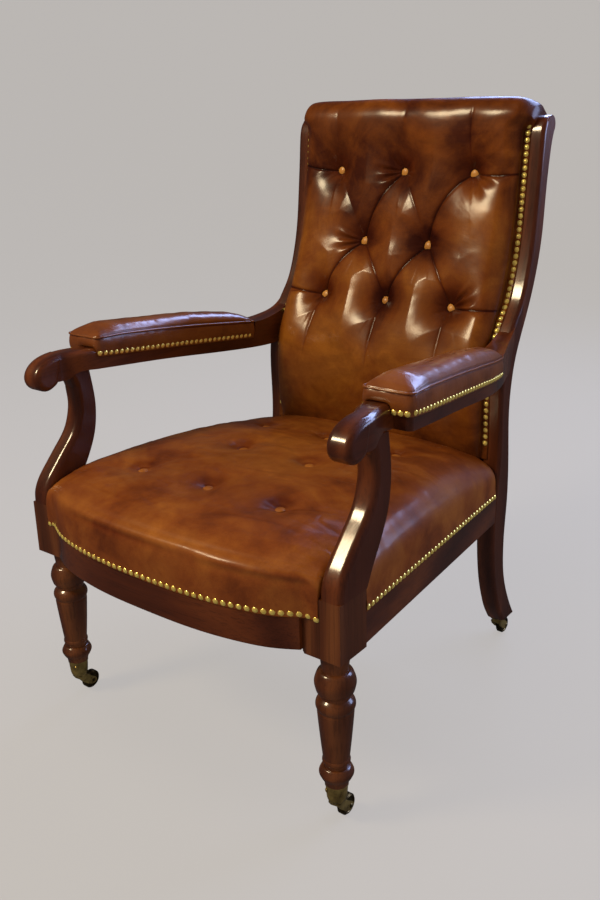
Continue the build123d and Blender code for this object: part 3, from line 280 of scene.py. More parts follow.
def leather(name, dark, mid, light, rough=(0.26, 0.46), coat=0.25, coat_rough=0.22, grain=1.0, use_attr=True,
            streaks=0.35, spec=0.35):
    """Hand-coloured, waxed hide: mottled colour, with painted shade in the folds, lighter where rubbed and where a
    highlight is painted.
    """
    m = Nodes(name)
    big = m.noise(7.5, 6, 0.62, 0.9)
    mid_n = m.noise(26.0, 5, 0.6, 0.5, vector=m.mapped(move=(3.1, 1.7, 9.2)))
    cloud = m.math("ADD", m.math("MULTIPLY", big, 0.68), m.math("MULTIPLY", mid_n, 0.32))
    if use_attr:
        # the lightness attribute read here mixes worn spots with painted highlight and painted shade
        wear_and_painted_light = m.attr("wear_and_painted_light")
        cloud = m.math("ADD", cloud, m.math("MULTIPLY", m.math("SUBTRACT", wear_and_painted_light, 0.5), 0.30))
    base = m.ramp(cloud, [(0.28, dark), (0.47, mid), (0.74, light)])
    # brushed-on darker stain, in streaks
    streak = m.noise(5.0, 5, 0.6, 1.2, vector=m.mapped(scale=(1.0, 1.0, 2.4), move=(5, 2, 1)))
    stain = m.ramp(streak, [(0.40, (0.60, 0.56, 0.66)), (0.58, (1.0, 1.0, 1.0))])
    base = m.mix(base, stain, streaks, "MULTIPLY")
    # fine speckle
    speck = m.ramp(m.noise(420.0, 2, 0.5), [(0.32, (0.80,)), (0.55, (1.0,))])
    base = m.mix(base, speck, 0.4, "MULTIPLY")
    if use_attr:
        # painted shade: darkens the colour in folds, creases, seams and button pits
        painted_fold_shade = m.ramp(m.attr("painted_fold_shade"), [(0.0, (1.0, 1.0, 1.0)), (0.5, (0.52, 0.33, 0.26)), (1.0, (0.14, 0.07, 0.05))])
        base = m.mix(base, painted_fold_shade, 0.95, "MULTIPLY")
    m.set(Base_Color=base)
    r = m.ramp(m.noise(16.0, 3, 0.5, 0.2), [(0.3, (rough[0],)), (0.7, (rough[1],))])
    m.set(Roughness=r)
    m.set(Coat_Weight=coat, Coat_Roughness=coat_rough)
    m.set(Specular_IOR_Level=spec)
    # grain: small pebbles, pores and long soft creases
    pebble = m.voronoi(520.0, "SMOOTH_F1", vector=m.mapped(scale=(1.0, 1.0, 1.0)), smooth=0.7)
    pores = m.noise(900.0, 2, 0.5)
    crease = m.voronoi(95.0, "DISTANCE_TO_EDGE",
                       vector=m.mix(m.mapped(scale=(1, 1, 1)), m.noise(30.0, 3, 0.6, colour=True), 0.06))
    crease = m.ramp(crease, [(0.0, (0.0,)), (0.10, (1.0,))])
    soft = m.noise(60.0, 3, 0.5, 0.3)
    n1 = m.bump(soft, 0.10 * grain, 0.002)
    n2 = m.bump(crease, 0.10 * grain, 0.0006, n1)
    n3 = m.bump(pebble, 0.16 * grain, 0.0006, n2)
    n4 = m.bump(pores, 0.05 * grain, 0.0004, n3)
    m.set(Normal=n4)
    return m.mat


def mahogany(name, axis="Z", dark=(0.017, 0.0032, 0.0012), mid=(0.048, 0.0105, 0.0028),
             light=(0.110, 0.0270, 0.0050), coat=0.90, rough=(0.34, 0.46), coat_rough=0.15):
    """French-polished hardwood with the grain along one axis of the frame."""
    m = Nodes(name)
    along = {"X": (1.6, 16, 16), "Y": (16, 1.6, 16), "Z": (16, 16, 1.6)}[axis]
    fine = {"X": (9, 420, 420), "Y": (420, 9, 420), "Z": (420, 420, 9)}[axis]
    figure = m.noise(1.0, 6, 0.6, 1.5, vector=m.mapped(scale=along))
    ring = m.new("ShaderNodeTexWave", wave_type="BANDS", bands_direction={"X": "Y", "Y": "X", "Z": "X"}[axis],
                 wave_profile="SIN")
    m.put(ring, "Vector", m.mapped(scale=along))
    ring.inputs["Scale"].default_value = 0.55
    ring.inputs["Distortion"].default_value = 7.0
    ring.inputs["Detail"].default_value = 4.0
    ring.inputs["Detail Scale"].default_value = 0.9
    cloud = m.noise(6.0, 4, 0.55, 0.4)
    f = m.math("ADD", m.math("MULTIPLY", figure, 0.45),
               m.math("ADD", m.math("MULTIPLY", ring.outputs["Fac"], 0.25), m.math("MULTIPLY", cloud, 0.35)))
    base = m.ramp(f, [(0.24, dark), (0.52, mid), (0.84, light)])
    pore = m.noise(1.0, 3, 0.6, 0.0, vector=m.mapped(scale=fine))
    flecks = m.ramp(pore, [(0.36, (0.45,)), (0.50, (1.0,))])
    base = m.mix(base, flecks, 0.55, "MULTIPLY")
    m.set(Base_Color=base)
    m.set(Roughness=m.ramp(m.noise(14.0, 4, 0.6), [(0.3, (rough[0],)), (0.7, (rough[1],))]))
    m.set(Coat_Weight=coat, Coat_Roughness=coat_rough, Specular_IOR_Level=0.16)
    n1 = m.bump(pore, 0.06, 0.0004)
    n2 = m.bump(m.noise(22.0, 3, 0.5), 0.06, 0.002, n1)
    m.set(Normal=n2)
    # the polish lies in soft waves of its own
    m.set(Coat_Normal=m.bump(m.noise(30.0, 2, 0.5), 0.035, 0.002))
    return m.mat


def plain_wood(name):
    m = Nodes(name)
    figure = m.noise(1.0, 6, 0.6, 1.0, vector=m.mapped(scale=(6, 60, 60)))
    base = m.ramp(figure, [(0.3, (0.20, 0.115, 0.055)), (0.55, (0.34, 0.21, 0.11)), (0.75, (0.45, 0.30, 0.17))])
    dust = m.ramp(m.noise(5.0, 5, 0.6), [(0.35, (0.55,)), (0.6, (1.0,))])
    m.set(Base_Color=m.mix(base, dust, 0.7, "MULTIPLY"), Roughness=m.ramp(figure, [(0.3, (0.55,)), (0.7, (0.75,))]))
    m.set(Normal=m.bump(figure, 0.25, 0.0006))
    return m.mat


def metal(name, base, dull, rough=(0.16, 0.34), patina=0.35, scale=60.0, bump=0.05, metallic=1.0):
    """Brass or iron with uneven polish and patchy tarnish."""
    m = Nodes(name)
    f = m.noise(scale, 5, 0.6, 0.3)
    big = m.noise(scale * 0.3, 4, 0.6, 0.3)
    lo, hi = 0.5 - 0.25 * (1 - patina) - 0.1, 0.62
    col = m.ramp(m.math("ADD", m.math("MULTIPLY", f, 0.5), m.math("MULTIPLY", big, 0.5)),
                 [(0.62 - 0.5 * (1 - patina) - 0.14, dull), (0.62, base)])
    m.set(Base_Color=col, Metallic=metallic)
    m.set(Roughness=m.ramp(f, [(0.3, (rough[0],)), (0.7, (rough[1],))]))
    m.set(Normal=m.bump(m.noise(scale * 6, 3, 0.6), bump, 0.0004))
    return m.mat


def woven(name, a, b, pitch):
    """Plain weave of coarse yarn."""
    m = Nodes(name)
    w1 = m.new("ShaderNodeTexWave", wave_type="BANDS", bands_direction="X", wave_profile="SIN")
    w2 = m.new("ShaderNodeTexWave", wave_type="BANDS", bands_direction="Y", wave_profile="SIN")
    for w in (w1, w2):
        m.put(w, "Vector", m.coord)
        w.inputs["Scale"].default_value = 1.0 / pitch / 6.2832 * 3.1416
        w.inputs["Distortion"].default_value = 0.6
        w.inputs["Detail"].default_value = 1.0
    weave = m.math("MULTIPLY", w1.outputs["Fac"], w2.outputs["Fac"])
    tone = m.math("ADD", m.math("MULTIPLY", weave, 0.7), m.math("MULTIPLY", m.noise(20, 4, 0.6), 0.4))
    m.set(Base_Color=m.ramp(tone, [(0.1, a), (0.8, b)]), Roughness=m.ramp(weave, [(0, (0.8,)), (1, (0.95,))]))
    m.set(Normal=m.bump(weave, 0.6, 0.0008))
    return m.mat


M_SEAT = leather("seat_hide", (0.050, 0.0094, 0.0028), (0.132, 0.0325, 0.0050), (0.236, 0.0800, 0.0115),
                 rough=(0.42, 0.50), coat=0.34, coat_rough=0.22, streaks=0.34, spec=0.08, grain=0.8)
M_BACK = leather("back_hide", (0.038, 0.0074, 0.0020), (0.110, 0.0285, 0.0034), (0.195, 0.0680, 0.0072),
                 rough=(0.44, 0.50), coat=0.44, coat_rough=0.21, streaks=0.60, spec=0.03, grain=0.7)
M_ARM = leather("arm_hide", (0.050, 0.0125, 0.0034), (0.122, 0.0330, 0.0058), (0.20, 0.066, 0.011),
                rough=(0.34, 0.42), coat=0.65, coat_rough=0.19, spec=0.2, grain=0.7)
M_BUTTON = leather("button_hide", (0.20, 0.075, 0.012), (0.33, 0.140, 0.023), (0.44, 0.21, 0.042),
                   rough=(0.36, 0.46), coat=0.3, coat_rough=0.22, use_attr=False, spec=0.2)
M_TUFT = leather("tuft_hide", (0.13, 0.036, 0.0050), (0.21, 0.068, 0.0090), (0.27, 0.100, 0.0140),
                 rough=(0.40, 0.50), coat=0.16, coat_rough=0.28, use_attr=False, spec=0.18)
M_WOOD_Z = mahogany("mahogany_upright", "Z")
M_WOOD_Y = mahogany("mahogany_arm", "Y")
M_WOOD_X = mahogany("mahogany_rail", "X")
M_LEG = mahogany("mahogany_leg", "Z", dark=(0.018, 0.0045, 0.0016), mid=(0.058, 0.0155, 0.0044),
                 light=(0.125, 0.0400, 0.0100))
M_PLAIN = plain_wood("carcass_wood")
M_NAIL = metal("nail_brass", (1.0, 0.80, 0.22), (0.86, 0.58, 0.10), rough=(0.18, 0.28), patina=0.2, scale=120,
               metallic=0.70)
M_CUP = metal("castor_brass", (0.52, 0.38, 0.13), (0.12, 0.075, 0.028), rough=(0.24, 0.46), patina=0.75, scale=90, bump=0.12,
              metallic=0.85)
M_DARK = metal("castor_dark_brass", (0.26, 0.175, 0.065), (0.050, 0.032, 0.016), rough=(0.28, 0.52), patina=0.9, scale=90, bump=0.15)
M_STEEL = metal("screw_iron", (0.40, 0.38, 0.35), (0.12, 0.10, 0.08), rough=(0.3, 0.5), patina=0.7, scale=90)
M_WEB = woven("jute_webbing", (0.20, 0.14, 0.075), (0.50, 0.39, 0.24), 0.0022)
M_CANVAS = woven("hessian", (0.16, 0.12, 0.07), (0.42, 0.33, 0.21), 0.0015)


def paint(node, mat):
    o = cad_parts[node]
    o.data.materials.clear()
    o.data.materials.append(mat)


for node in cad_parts:
    if node.startswith(("back_upright", "arm_support")):
        paint(node, M_WOOD_Z)
    elif node.startswith("front_leg"):
        paint(node, M_LEG)
    elif node.startswith(("arm_rail", "seat_rail_left", "seat_rail_right")):
        paint(node, M_WOOD_Y)
    elif node == "seat_rail_front":
        paint(node, M_WOOD_X)
    elif node in ("seat_rail_back", "crest_rail", "lower_back_rail", "corner_blocks", "frame_dowels"):
        paint(node, M_PLAIN)
    elif node.startswith("nails"):
        paint(node, M_NAIL)
    elif node.startswith(("castor_cup", "castor_plate")) or node == "castor_screws":
        paint(node, M_CUP)
    elif node.startswith("castor_fork"):
        paint(node, M_CUP)
    elif node.startswith("castor"):
        paint(node, M_DARK)
    elif node == "block_screws":
        paint(node, M_STEEL)

# ---------------------------------------------------------------------------
# profiles shared with the frame
# ---------------------------------------------------------------------------
FACE = [
    (229, 384), (221, 420), (216, 470), (219, 520), (230, 570), (248, 620), (267, 665), (287, 712),
    (303, 760), (316, 810), (326, 860), (333, 905), (337, 945), (343, 972), (356, 989),
    (375, 994), (396, 986), (407, 966), (405.5, 940),
]
EDGE = [
    (245.2, 384), (246.4, 420), (245.2, 470), (246.2, 520), (254, 569), (280, 621), (307.5, 657), (330.5, 711),
    (343.5, 760), (350, 808), (355, 858), (359, 903), (363.5, 938), (370.5, 954), (381, 966.5),
    (391, 971.0), (401, 971), (408.5, 961), (406.5, 940),
]
REAR_LAP = [
    (247.4, 384), (248.6, 420), (247.4, 470), (248.5, 520), (256.2, 568), (282, 620), (309.5, 655.5), (332.8, 710),
    (345.4, 760), (352, 808), (356.8, 858), (360.8, 903), (365.5, 938), (373, 956), (385, 963.2),
    (396, 962.8), (404.5, 958.5), (407, 950), (405.8, 940),
]
REAR_IN = [
    (284, 384), (283, 400), (278.2, 472), (282.2, 517), (294.2, 563), (314.2, 604), (335.2, 642), (353.2, 680),
    (368.2, 722), (378.2, 765), (384.2, 824), (389.2, 870), (394.2, 900), (399.4, 922), (404.4, 938),
]
BACK_BUTTONS = [(-142, 872, 12.0), (0, 872, 12.0), (142, 872, 12.0), (-69, 747, 9.0), (69, 747, 9.0),
                (-138, 649, 14.0), (0, 649, 14.0), (138, 649, 14.0)]


# ---------------------------------------------------------------------------
# back cushion: deep buttoned, pleated between the buttons, rolled over the top
# ---------------------------------------------------------------------------
def seg_distance(x, s, pts):
    """Distance from (x, s) to a polyline, its share along it, and which side."""
    pts = np.asarray(pts, float)
    legs = np.linalg.norm(np.diff(pts, axis=0), axis=1)
    total = legs.sum()
    best = np.full(x.shape, 1e9)
    share = np.zeros(x.shape)
    sidev = np.zeros(x.shape)
    run = 0.0
    for a, b, L in zip(pts, pts[1:], legs):
        d = (b - a) / L
        px, ps = x - a[0], s - a[1]
        t = np.clip(px * d[0] + ps * d[1], 0, L)
        dx, dsv = px - t * d[0], ps - t * d[1]
        dist = np.hypot(dx, dsv)
        near = dist < best
        best = np.where(near, dist, best)
        share = np.where(near, (run + t) / total, share)
        sidev = np.where(near, px * d[1] - ps * d[0], sidev)
        run += L
    return best, share, sidev


def bent(a, b, bow, n=14):
    """A curved line from a to b, bowed sideways by bow."""
    a, b = np.array(a, float), np.array(b, float)
    t = np.linspace(0, 1, n)
    d = b - a
    nrm = np.array([d[1], -d[0]]) / np.linalg.norm(d)
    return a + t[:, None] * d + (4 * t * (1 - t))[:, None] * nrm * bow


POST = [
    (247, 380), (248.5, 430), (247, 478), (248, 525), (254, 563), (269, 600), (291, 631), (310, 655), (327, 691),
    (339, 730), (347, 769), (352, 809), (356, 848), (360, 890), (363, 925), (367, 945), (374, 957), (386, 962.5),
]
post = curve(POST, even(POST, 1200)[0])
post_n = np.stack([-np.gradient(post[:, 1]), np.gradient(post[:, 0])], 1)
post_n /= np.linalg.norm(post_n, axis=1, keepdims=True)


def on_post(z, off):
    """Fore-and-aft place, at height z, of a line lying off in front of the upright's face."""
    q = post + post_n * off
    return float(np.interp(z, q[:, 1], q[:, 0]))


EDGE = [(on_post(z, 1.7), z) if z < 955 else (y, z) for y, z in EDGE]
REAR_LAP = [(on_post(z, 0.25), z) if z < 955 and k < 13 else (y, z) for k, (y, z) in enumerate(REAR_LAP)]
face_t, face_len = even(FACE, 500)
face_line = curve(FACE, face_t)
edge_line = curve(EDGE, face_t)
face_s = np.linspace(0, face_len, len(face_t))


def s_of(z):
    front = face_t < 13.5
    return float(np.interp(z, face_line[front, 1], face_s[front]))


HALF = 235.2
SIDE = 221.9
roll_t = np.linspace(0, 1, 40)
roll_x = SIDE - 26.0 * (1 - np.sin(roll_t * math.pi / 2))       # bunched towards the edge
u_half = np.concatenate([np.linspace(0, 196, 112)[:-1], roll_x, SIDE + 13.3 * np.linspace(0, 1, 9)[1:] ** 1.2]) / HALF
U = np.concatenate([-u_half[:0:-1], u_half])
over = np.maximum.accumulate(smooth01(face_line[:, 1], 944, 972))
half_w = HALF + 6.0 * smooth01(face_line[:, 1], 952, 972)
puff_w = SIDE + (half_w - SIDE) * over
X = U[None, :] * half_w[:, None]
q_ = np.minimum(1, np.abs(X) / puff_w[:, None])
# a full, rounded side: upright where it leaves the nails, then a quarter turn on to the face
W = np.maximum(0, 1 - q_ ** 12) ** (1 / 2.6)
base = np.empty((len(face_t), len(U), 3))
base[..., 0] = X
for k in (0, 1):
    base[..., 1 + k] = edge_line[:, k][:, None] * (1 - W) + face_line[:, k][:, None] * W
# the side swells a little over the nails
swell = np.sin(np.clip(W, 0, 1) * math.pi) * smooth01(np.abs(X), 190, 216) * (1 - over[:, None]) * (q_ < 1)
base[..., 0] += np.sign(X) * 4.2 * swell * smooth01(face_s, 0, 60)[:, None]
S = np.repeat(face_s[:, None], len(U), 1)
N = grid_normals(base)
N *= np.sign((N[..., 1] * -1).mean())
inside = smooth01(puff_w[:, None] - np.abs(X), 0.4, 26)

B = [(x, s_of(z), d) for x, z, d in BACK_BUTTONS]
b1l, b1c, b1r, b2l, b2r, b3l, b3c, b3r = [(b[0], b[1]) for b in B]
s_top = s_of(985)
pleats = [
    # line, depth at its two ends, narrowest waist depth, soft width, sharp crease depth
    (bent(b1c, b2l, 10), 13, 12, 8.5, 25, 2.6),
    (bent(b1r, b2r, 17), 13, 12, 9.5, 27, 2.8),
    (bent(b2l, b3l, 9), 12, 12, 8.0, 23, 2.4),
    (bent(b2r, b3c, 7), 12, 12, 8.5, 21, 2.6),
    (bent(b2l, b3c, -6), 12, 12, 6.0, 19, 1.5),
    (bent(b2r, b3r, -4), 12, 12, 6.2, 21, 1.8),
    (bent(b1l, b2l, -6), 12, 12, 4.6, 24, 0.3),
    (bent(b1c, b2r, -6), 12, 12, 4.8, 24, 0.7),
    (bent(b1l, (-220, b1l[1] + 7), -4), 13, 6, 7.0, 16, 2.4),
    (bent(b1r, (220, b1r[1] - 2), 4), 13, 6, 7.0, 16, 2.4),
    (bent(b3l, (-220, b3l[1] + 3), -3), 13, 6, 6.5, 15, 2.4),
    (bent(b3r, (220, b3r[1] - 2), 3), 13, 6, 6.5, 15, 2.4),
    (bent(b3l, (-219, b3l[1] - 9), 3), 11, 2, 2.5, 7, 1.3),
    (bent(b1r, (139, s_top), -4), 13, 2, 7.0, 27, 1.2),
    (bent(b1c, (5, s_top), -3), 13, 2, 6.0, 28, 0.5),
    (bent(b1l, (-146, s_top), 2), 13, 2, 5.5, 28, 0.2),
    (bent(b3l, (-150, b3l[1] - 135), 3), 14, 0.2, 8.5, 28, 1.1),
    (bent(b3c, (-7, b3c[1] - 150), 3), 14, 0.2, 9.0, 30, 1.2),
    (bent(b3r, (136, b3r[1] - 145), 3), 14, 0.2, 8.5, 28, 0.6),
]


def back_relief(X, S):
    """Height of the leather off the plain face, and the painted shade of its folds and button pits."""
    soft = np.zeros(X.shape)
    sharp = np.zeros(X.shape)
    painted_fold_shade = np.zeros(X.shape)
    wob = 2.2 * noise3(np.stack([X / 21.0, S / 21.0, 0 * X], -1), 5)
    for line, d0, d1, waist, width, crease in pleats:
        dist, t, sd = seg_distance(X, S, line)
        d = np.where(t < 0.5, d0 + (waist - d0) * smooth01(t, 0, 0.42), waist + (d1 - waist) * smooth01(t, 0.58, 1.0))
        if d1 < 3:
            d = d0 + (waist - d0) * smooth01(t, 0, 0.25)
            d = d * (1 - smooth01(t, 0.35, 1.0)) + d1 * smooth01(t, 0.35, 1.0)
        # one side of a pleat is tucked, the other rolls over it
        wd = width * np.where(sd > 0, 0.80, 1.18)
        g = d * (0.62 * np.exp(-np.abs(dist + 0.15 * wob) / wd) + 0.38 * np.exp(-(dist / (1.5 * wd)) ** 2))
        soft = np.maximum(soft, g) + 0.22 * np.minimum(soft, g)
        taper = smooth01(t, -0.02, 0.10) * (1 - smooth01(t, 0.72 if d1 < 3 else 0.97, 1.04)) if d1 < 3 else 1.0
        c = crease * taper * np.exp(-(dist / 2.3) ** 1.5)
        sharp = np.maximum(sharp, c)
        # painted shade along each pleat's crease and down its valley
        painted_fold_shade = np.maximum(painted_fold_shade, min(1.0, crease / 2.2) * taper * np.exp(-(dist / 2.1) ** 2))
        painted_fold_shade = np.maximum(painted_fold_shade, 0.34 * min(1.0, d0 / 12.0) * taper * np.exp(-(dist / (0.42 * width)) ** 2) * (1 - 0.6 * t))
    pit = np.zeros(X.shape)
    rays = np.zeros(X.shape)
    for k, (bx, bs, depth) in enumerate(B):
        dx, dsv = X - bx, S - bs
        r = np.hypot(dx, dsv)
        pit = np.maximum(pit, (depth + 11.0) * np.exp(-(r / 38.0) ** 1.35))
        a = np.arctan2(dsv, dx)
        rng = np.random.RandomState(40 + k)
        ph, n1, n2 = rng.uniform(0, 6.28), 11, 17
        spokes = 0.6 * np.cos(n1 * a + ph + 0.5 * np.sin(3 * a + k)) + 0.4 * np.cos(n2 * a + 2 * ph)
        rays += spokes * 0.50 * np.exp(-((r - 18) / 11.0) ** 2) * smooth01(r, 6, 14)
        # painted shade in and around each button pit
        painted_fold_shade = np.maximum(painted_fold_shade, 0.95 * np.exp(-(r / 11.5) ** 4))
        painted_fold_shade = np.maximum(painted_fold_shade, 0.60 * np.exp(-(np.hypot(dx - 3, dsv - 9) / 33.0) ** 2))
    # fans of small wrinkles where the leather is drawn to a button
    fans = [(b1c, 190, 42, 5, 3.0), (b2l, 190, 46, 5, 3.0), (b3r, 25, 46, 5, 3.2), (b1r, 315, 44, 4, 2.0),
            (b1c, 120, 34, 4, 1.8), (b1l, 300, 36, 4, 1.8), (b1r, 100, 30, 3, 1.2), (b3l, 235, 32, 3, 1.4),
            (b3r, 200, 26, 3, 0.8), (b2r, 15, 34, 3, 0.8)]
    for (bx, bs), deg, reach, count, amp in fans:
        dx, dsv = X - bx, S - bs
        r = np.hypot(dx, dsv)
        a = np.degrees(np.arctan2(dsv, dx))
        off = (a - deg + 180) % 360 - 180
        spread = 66.0
        window = np.exp(-(off / (spread * 0.55)) ** 4)
        rays += amp * np.cos(off / spread * math.pi * count) * window * np.exp(-((r - reach * 0.62) / (reach * 0.42)) ** 2)
    total = 8.5 - np.maximum(soft, pit) - 0.25 * np.minimum(soft, pit) - sharp + 0.8 * rays
    lumps = 1.5 * fbm(np.stack([X / 80.0, S / 80.0, 0 * X + 3], -1), 2, 11) \
        + 0.20 * fbm(np.stack([X / 24.0, S / 24.0, 0 * X + 3], -1), 2, 21)
    return total + lumps, painted_fold_shade


relief, painted_fold_shade = back_relief(X, S)
# the flutes die away below the last row and behind the crest
fade = smooth01(S, s_of(430), s_of(600)) * (1 - smooth01(S, s_of(985) - 5, s_of(985) + 40))
relief = relief * fade + (1 - fade) * (1.6 * fbm(np.stack([X / 60.0, S / 60.0, 0 * X + 9], -1), 2, 31))
painted_fold_shade = painted_fold_shade * fade
P_back = base + N * (relief * inside)[..., None]
# lighter on the high puffs (worn spots and painted highlight), darker in the low ground and towards the nailed sides
# (painted shade)
back_wear_and_painted_light = np.clip(0.50 + relief / 24.0 - 0.25 * (1 - smooth01(puff_w[:, None] - np.abs(X), -4, 26)), 0, 1)
# painted shade at the foot of the back, where it meets the seat
back_wear_and_painted_light = back_wear_and_painted_light * (0.75 + 0.25 * smooth01(S, 0, 160))
# painted shade: the hide is darker towards the top
back_wear_and_painted_light = np.clip(back_wear_and_painted_light - 0.55 * smooth01(S, s_of(640), s_of(900)), 0, 1)

rear_rows = 70
rt, _ = even(REAR_IN, rear_rows)
rear_in = curve(REAR_IN, rt)[::-1]
lt, _ = even(REAR_LAP, rear_rows)
rear_lap = curve(REAR_LAP, lt)[::-1]
x0 = P_back[0, :, 0]
rear = np.empty((rear_rows, len(U), 3))
up_rows = int(np.argmax(face_line[:, 1]))
hw_rear = np.interp(rear_lap[:, 1], face_line[:up_rows, 1], half_w[:up_rows])
hw_in = np.interp(rear_in[:, 1], face_line[:up_rows, 1], half_w[:up_rows])
k_in = np.abs(U * HALF) < 222.5
for i, u in enumerate(U):
    line, hw = (rear_in, hw_in) if k_in[i] else (rear_lap, hw_rear)
    rear[:, i, 0] = u * (hw if not k_in[i] else np.full(rear_rows, 235.2))
    rear[:, i, 1:] = line
# the two columns each side of the uprights' inner faces stand on those faces
edge_cols = np.flatnonzero(np.diff(k_in.astype(int)) != 0)
for c in edge_cols:
    a, b = (c, c + 1) if k_in[c + 1] else (c + 1, c)
    sgn = np.sign(U[a])
    rear[:, b, 0] = sgn * 223.6
loop = np.concatenate([P_back, rear], 0)
rows, cols = loop.shape[:2]
index = np.arange(rows * cols).reshape(rows, cols)
index_closed = np.concatenate([index, index[:1]], 0)
faces = grid_faces(index_closed) + [index[:, 0].tolist(), index[:, -1].tolist()]
pad_attr = lambda a, fill: np.concatenate([a, np.full((rear_rows, cols), fill)], 0).ravel()
back = make_mesh("back_cushion", loop.reshape(-1, 3), faces,
                 {"wear_and_painted_light": pad_attr(back_wear_and_painted_light, 0.4), "painted_fold_shade": pad_attr(painted_fold_shade, 0.0)}, M_BACK)
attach(back, "frame")
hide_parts("back_pad")


# ---------------------------------------------------------------------------
# covered buttons
# ---------------------------------------------------------------------------
def button_points(centre, normal, radius, height, seed, sink=2.0, sides=36):
    """A domed, leather-covered button: rings from the rim under the edge to the crown."""
    n = np.array(normal, float)
    n /= np.linalg.norm(n)
    a = np.cross(n, [1, 0.2, 0.1])
    a /= np.linalg.norm(a)
    b = np.cross(n, a)
    prof = [(0.0, -sink), (0.72, -sink), (0.93, -0.6), (1.0, 0.25), (0.985, 0.9), (0.92, 1.6), (0.80, 2.35),
            (0.62, 3.05), (0.42, 3.55), (0.21, 3.85), (0.0, 3.95)]
    ang = np.linspace(0, 2 * math.pi, sides, endpoint=False)
    pts, rings = [], []
    for k, (rr, h) in enumerate(prof):
        if rr == 0.0:
            rings.append([len(pts)])
            pts.append(np.array(centre) + n * h * (height / 3.95 if h > 0 else 1))
            continue
        ring = []
        pucker = 1 + 0.018 * np.cos(9 * ang + seed) * (1.0 if h < 1.5 else 0.3) + 0.012 * np.cos(5 * ang + 2 * seed)
        for j in range(sides):
            ring.append(len(pts))
            q = np.array(centre) + (a * math.cos(ang[j]) + b * math.sin(ang[j])) * radius * rr * pucker[j]
            pts.append(q + n * h * (height / 3.95 if h > 0 else 1))
        rings.append(ring)
    faces = []
    for r0, r1 in zip(rings, rings[1:]):
        for j in range(sides):
            k = (j + 1) % sides
            if len(r0) == 1:
                faces.append([r0[0], r1[k], r1[j]])
            elif len(r1) == 1:
                faces.append([r0[j], r0[k], r1[0]])
            else:
                faces.append([r0[j], r0[k], r1[k], r1[j]])
    return pts, faces


def buttons_mesh(name, spots, radius, height, mat):
    verts, faces = [], []
    for k, (c, n) in enumerate(spots):
        p, f = button_points(c, n, radius, height, 1.7 * k)
        off = len(verts)
        verts += p
        faces += [[i + off for i in q] for q in f]
    return make_mesh(name, np.array(verts), faces, None, mat)


spots = []
for bx, bs, depth in B:
    j = int(np.argmin(np.abs(face_s - bs)))
    i = int(np.argmin(np.abs(X[j] - bx)))
    spots.append((P_back[j, i] + N[j, i] * 1.6, N[j, i]))
btn = buttons_mesh("covered_buttons", spots, 9.0, 4.6, M_BUTTON)
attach(btn, "frame")
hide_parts("back_buttons")


# ---------------------------------------------------------------------------
# seat: stuffed over, bow front with a low border, eight shallow tufts
# ---------------------------------------------------------------------------
BOW = [(0, -366), (60, -365.2), (120, -360.5), (170, -352), (211, -340.5), (241, -326), (256, -318), (276, -315.2)]
TUFTS = [(-142, -222), (0, -222), (142, -222), (-70, -57), (70, -57), (-142, 93), (0, 93), (142, 93)]
CROWN = [(-356, 417), (-350, 422), (-336, 429), (-320, 434), (-280, 441), (-222, 446), (-150, 449), (-100, 449),
         (-40, 447), (0, 444), (50, 439), (93, 433), (160, 420), (220, 408), (262, 398)]


def bow_y(x):
    b = np.array(BOW)
    return np.interp(np.abs(x), b[:, 0], b[:, 1])


bow_dense = curve(BOW, even(BOW, 400)[0])


def bow_smooth(x):
    return np.interp(np.abs(x), bow_dense[:, 0], bow_dense[:, 1])


def rail_x(y):
    return 311.0 - (y + 253.0) * (51.6 / 485.0)


def seat_top(x, y):
    d = y - bow_smooth(x)
    c = np.array(CROWN)
    # near the front the height follows the distance behind the bow
    zc_front = np.interp(d, c[:5, 0] + 366, c[:5, 1])
    zc_mid = np.interp(y, c[:, 0], c[:, 1])
    f = smooth01(d, 40, 120)
    zc = zc_front * (1 - f) + zc_mid * f
    zn = 357.0 - 19.0 * np.maximum(0, (y + 253.0)) / 489.0
    q = np.clip(np.abs(x) / rail_x(y), 0, 1)
    g = np.maximum(0, 1 - q ** 3.4) ** (1 / 3.2)
    return zn + (zc - zn) * g


